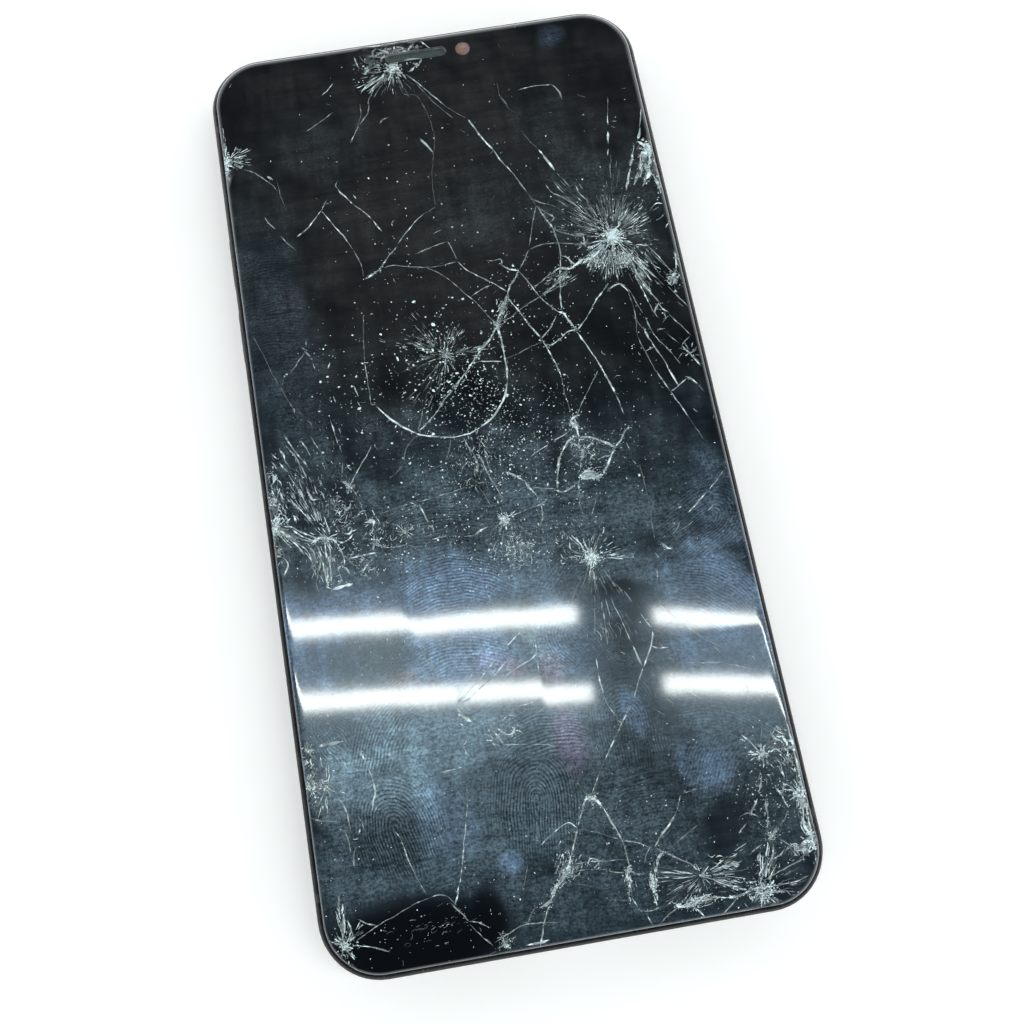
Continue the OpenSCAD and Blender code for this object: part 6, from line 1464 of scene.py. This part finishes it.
def lensFinish():
    # by zone: 0 black barrel, 0.5 bright ring, 1 coated lens with a violet sheen
    r = Recipe("coatedLens")
    zone = r.mark("zone")
    ring = r.blend(r.spread(r.noise(1500, 3), 0.35, 0.65), (0.10, 0.10, 0.11), (0.20, 0.20, 0.215))
    eye = r.blend(r.spread(r.noise(260, 3), 0.3, 0.7), (0.010, 0.006, 0.022), (0.026, 0.012, 0.050))
    tone = r.blend(r.spread(zone, 0.0, 0.5), (0.006, 0.006, 0.007), ring)
    tone = r.blend(r.spread(zone, 0.5, 1.0), tone, eye)
    r.set(Base_Color=tone, Roughness=r.spread(zone, 0.5, 1.0, 0.34, 0.05), Coat_Weight=0.7,
          Coat_Roughness=0.03)
    r.bump(r.noise(2600, 2), 0.15, 0.00001)
    return r.material


def makeRearLenses():
    # each lens is a turned profile: bright ring, stepped black barrel, domed eye; seen from
    # below, so lower z is nearer to the eye
    finish = lensFinish()
    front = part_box("camera_window")[0][2] / mm
    steps = [(3.9, 0, 0), (3.86, -0.07, 0.5), (3.5, -0.1, 0.5), (3.42, -0.05, 0), (3, -0.03, 0),
             (2.96, -0.045, 0.5), (2.86, -0.045, 0.5), (2.8, -0.02, 0), (2.1, -0.02, 0),
             (2.04, -0.03, 0.45), (1.96, -0.02, 0), (1.6, -0.03, 1), (1.2, -0.055, 1), (0.7, -0.075, 1),
             (0.001, -0.085, 1)]
    for name, y, share in (("mainLens", 68.0, 1.0), ("wideLens", 56.0, 3.4 / 3.9)):
        profile = [(r * share, front + z, zone) for r, z, zone in steps]
        turnedDisc(name, back["ring"]["x"], y, profile, finish, 56, faceUp=False)
    dot = [(0.55, front, 0), (0.5, front - 0.03, 0.4), (0.3, front - 0.03, 0), (0.001, front - 0.02, 0)]
    turnedDisc("windowDot", back["ring"]["x"], back["ring"]["y"], dot, finish, 28, faceUp=False)
    # flash: rings like a stepped lens
    r = Recipe("flashRings")
    tone = r.blend(r.mark("zone"), (0.72, 0.60, 0.30), (0.90, 0.86, 0.72))
    r.set(Base_Color=tone, Roughness=0.22, Coat_Weight=0.5, Coat_Roughness=0.05)
    r.bump(r.noise(1700, 3), 0.2, 0.00001)
    radius = np.linspace(2.2, 0.001, 18)
    low = max(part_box("flash_lens")[0][2] / mm, 0.0) - 0.004
    rings = [(a, low + 0.003 * (i % 2), 0.35 + 0.65 * (i % 2)) for i, a in enumerate(radius)]
    turnedDisc("flashRings", back["flash"]["x"], back["flash"]["y"], rings, r.material, 40,
               faceUp=False)
    print("rear lenses done")


makeBack()
makeRearLenses()


# floor, light and camera

studio = {
    "floorHalf": 3000,                 # half the floor's width
    "tubeHeight": 1208,                # height of the ceiling tubes
    "tubeLength": 900,
    "tubeWidth": 27,
    "tubeTurn": -6.2,                  # heading of the tubes, degrees
    "tubeGlow": 29,                    # radiance of a tube
    "rightEnds": [(202, 90), (202, -23)],      # where the left-hand pair ends
    "leftEnds": [(321, 70), (316, -36)],       # where the right-hand pair begins
    "skyEdge": 6.0,                    # sky at the horizon
    "skyLow": 1.55,                    # sky above that
    "skyHigh": 0.05,                   # sky overhead
}


def makeFloor():
    half = studio["floorHalf"]
    across = np.linspace(-half, half, 9)
    x, y = np.meshgrid(across, across)
    points = np.stack([x, y, np.full_like(x, -0.06)], axis=-1).reshape(-1, 3)
    mesh = bpy.data.meshes.new("paleFloor")
    mesh.from_pydata([tuple(p) for p in points * mm], [], [tuple(f) for f in gridFaces(9, 9)])
    floor = bpy.data.objects.new("paleFloor", mesh)
    bpy.context.scene.collection.objects.link(floor)
    r = Recipe("paleTable")
    tone = r.blend(r.spread(r.noise(40, 4, 0.5), 0.3, 0.7), (0.955, 0.955, 0.955), (0.975, 0.975, 0.975))
    r.set(Base_Color=tone, Roughness=0.9, Specular_IOR_Level=0.1, Emission_Color=(1, 1, 1, 1))
    seen = r.nodes.new("ShaderNodeLightPath").outputs
    direct = r.math("MAXIMUM", seen["Is Glossy Ray"], seen["Is Transmission Ray"])
    direct = r.math("MAXIMUM", seen["Is Camera Ray"], direct)
    # far from the phone the floor pales into the white behind it
    glow = r.spread(r.vector("LENGTH", "Value", i0=r.place), 0.45, 1.6, 0.14, 1.0)
    r.links.new(r.math("MULTIPLY", direct, glow), r.shader.inputs["Emission Strength"])
    mesh.materials.append(r.material)


def makeTube(name, end, direction):
    # a long, narrow area light facing down; its power gives the wanted radiance
    size = (studio["tubeLength"] * mm, studio["tubeWidth"] * mm)
    turn = math.radians(studio["tubeTurn"])
    middle = np.array(end) + direction * studio["tubeLength"] / 2 * np.array([math.cos(turn), math.sin(turn)])
    lamp = bpy.data.lights.new(name, "AREA")
    lamp.shape = "RECTANGLE"
    lamp.size, lamp.size_y = size
    lamp.energy = studio["tubeGlow"] * math.pi * size[0] * size[1]
    lamp.color = (0.95, 1.0, 0.98)
    light = bpy.data.objects.new(name, lamp)
    light.location = (middle[0] * mm, middle[1] * mm, studio["tubeHeight"] * mm)
    light.rotation_euler = (0, 0, turn)
    bpy.context.scene.collection.objects.link(light)


def makeSky():
    # plain sky by the height of the direction: brightest at the horizon, nearly dark overhead
    world = bpy.data.worlds.new("softRoom")
    bpy.context.scene.world = world
    world.use_nodes = True
    nodes, links = world.node_tree.nodes, world.node_tree.links
    way = nodes.new("ShaderNodeTexCoord").outputs["Generated"]
    split = nodes.new("ShaderNodeSeparateXYZ")
    links.new(way, split.inputs[0])
    levels = []
    for low, high, bottom, top in ((0.02, 0.20, studio["skyEdge"], studio["skyLow"]),
                                   (0.45, 0.72, 0.0, studio["skyHigh"] - studio["skyLow"])):
        level = nodes.new("ShaderNodeMapRange")
        level.interpolation_type = "SMOOTHSTEP"
        links.new(split.outputs["Z"], level.inputs["Value"])
        for key, number in zip(rangeSockets, (low, high, bottom, top)):
            level.inputs[key].default_value = number
        levels.append(level.outputs["Result"])
    total = nodes.new("ShaderNodeMath")
    links.new(levels[0], total.inputs[0])
    links.new(levels[1], total.inputs[1])
    sky = nodes["Background"]
    sky.inputs["Color"].default_value = (0.97, 0.99, 1.0, 1)
    links.new(total.outputs[0], sky.inputs["Strength"])


view = {
    "place": (-13.28, -43.90, 141.9),          # the lens, above the phone
    "turn": (10.849, 0.407, -9.488),           # degrees
    "lens": 29.88,
    "shift": (0.0605, 0.0469),
}


def makeCamera():
    data = bpy.data.cameras.new("frontView")
    data.sensor_width = 36
    data.lens = view["lens"]
    data.shift_x, data.shift_y = view["shift"]
    data.clip_start = 0.01
    data.dof.use_dof = False
    camera = bpy.data.objects.new("frontView", data)
    camera.location = [c * mm for c in view["place"]]
    camera.rotation_euler = [math.radians(a) for a in view["turn"]]
    bpy.context.scene.collection.objects.link(camera)
    bpy.context.scene.camera = camera


makeFloor()
for number, (x, y) in enumerate(studio["rightEnds"]):
    makeTube(f"leftTube{number}", (x, y), -1)
for number, (x, y) in enumerate(studio["leftEnds"]):
    makeTube(f"rightTube{number}", (x, y), 1)
makeSky()
makeCamera()
bpy.context.scene.view_settings.view_transform = "Standard"
print("stage set")
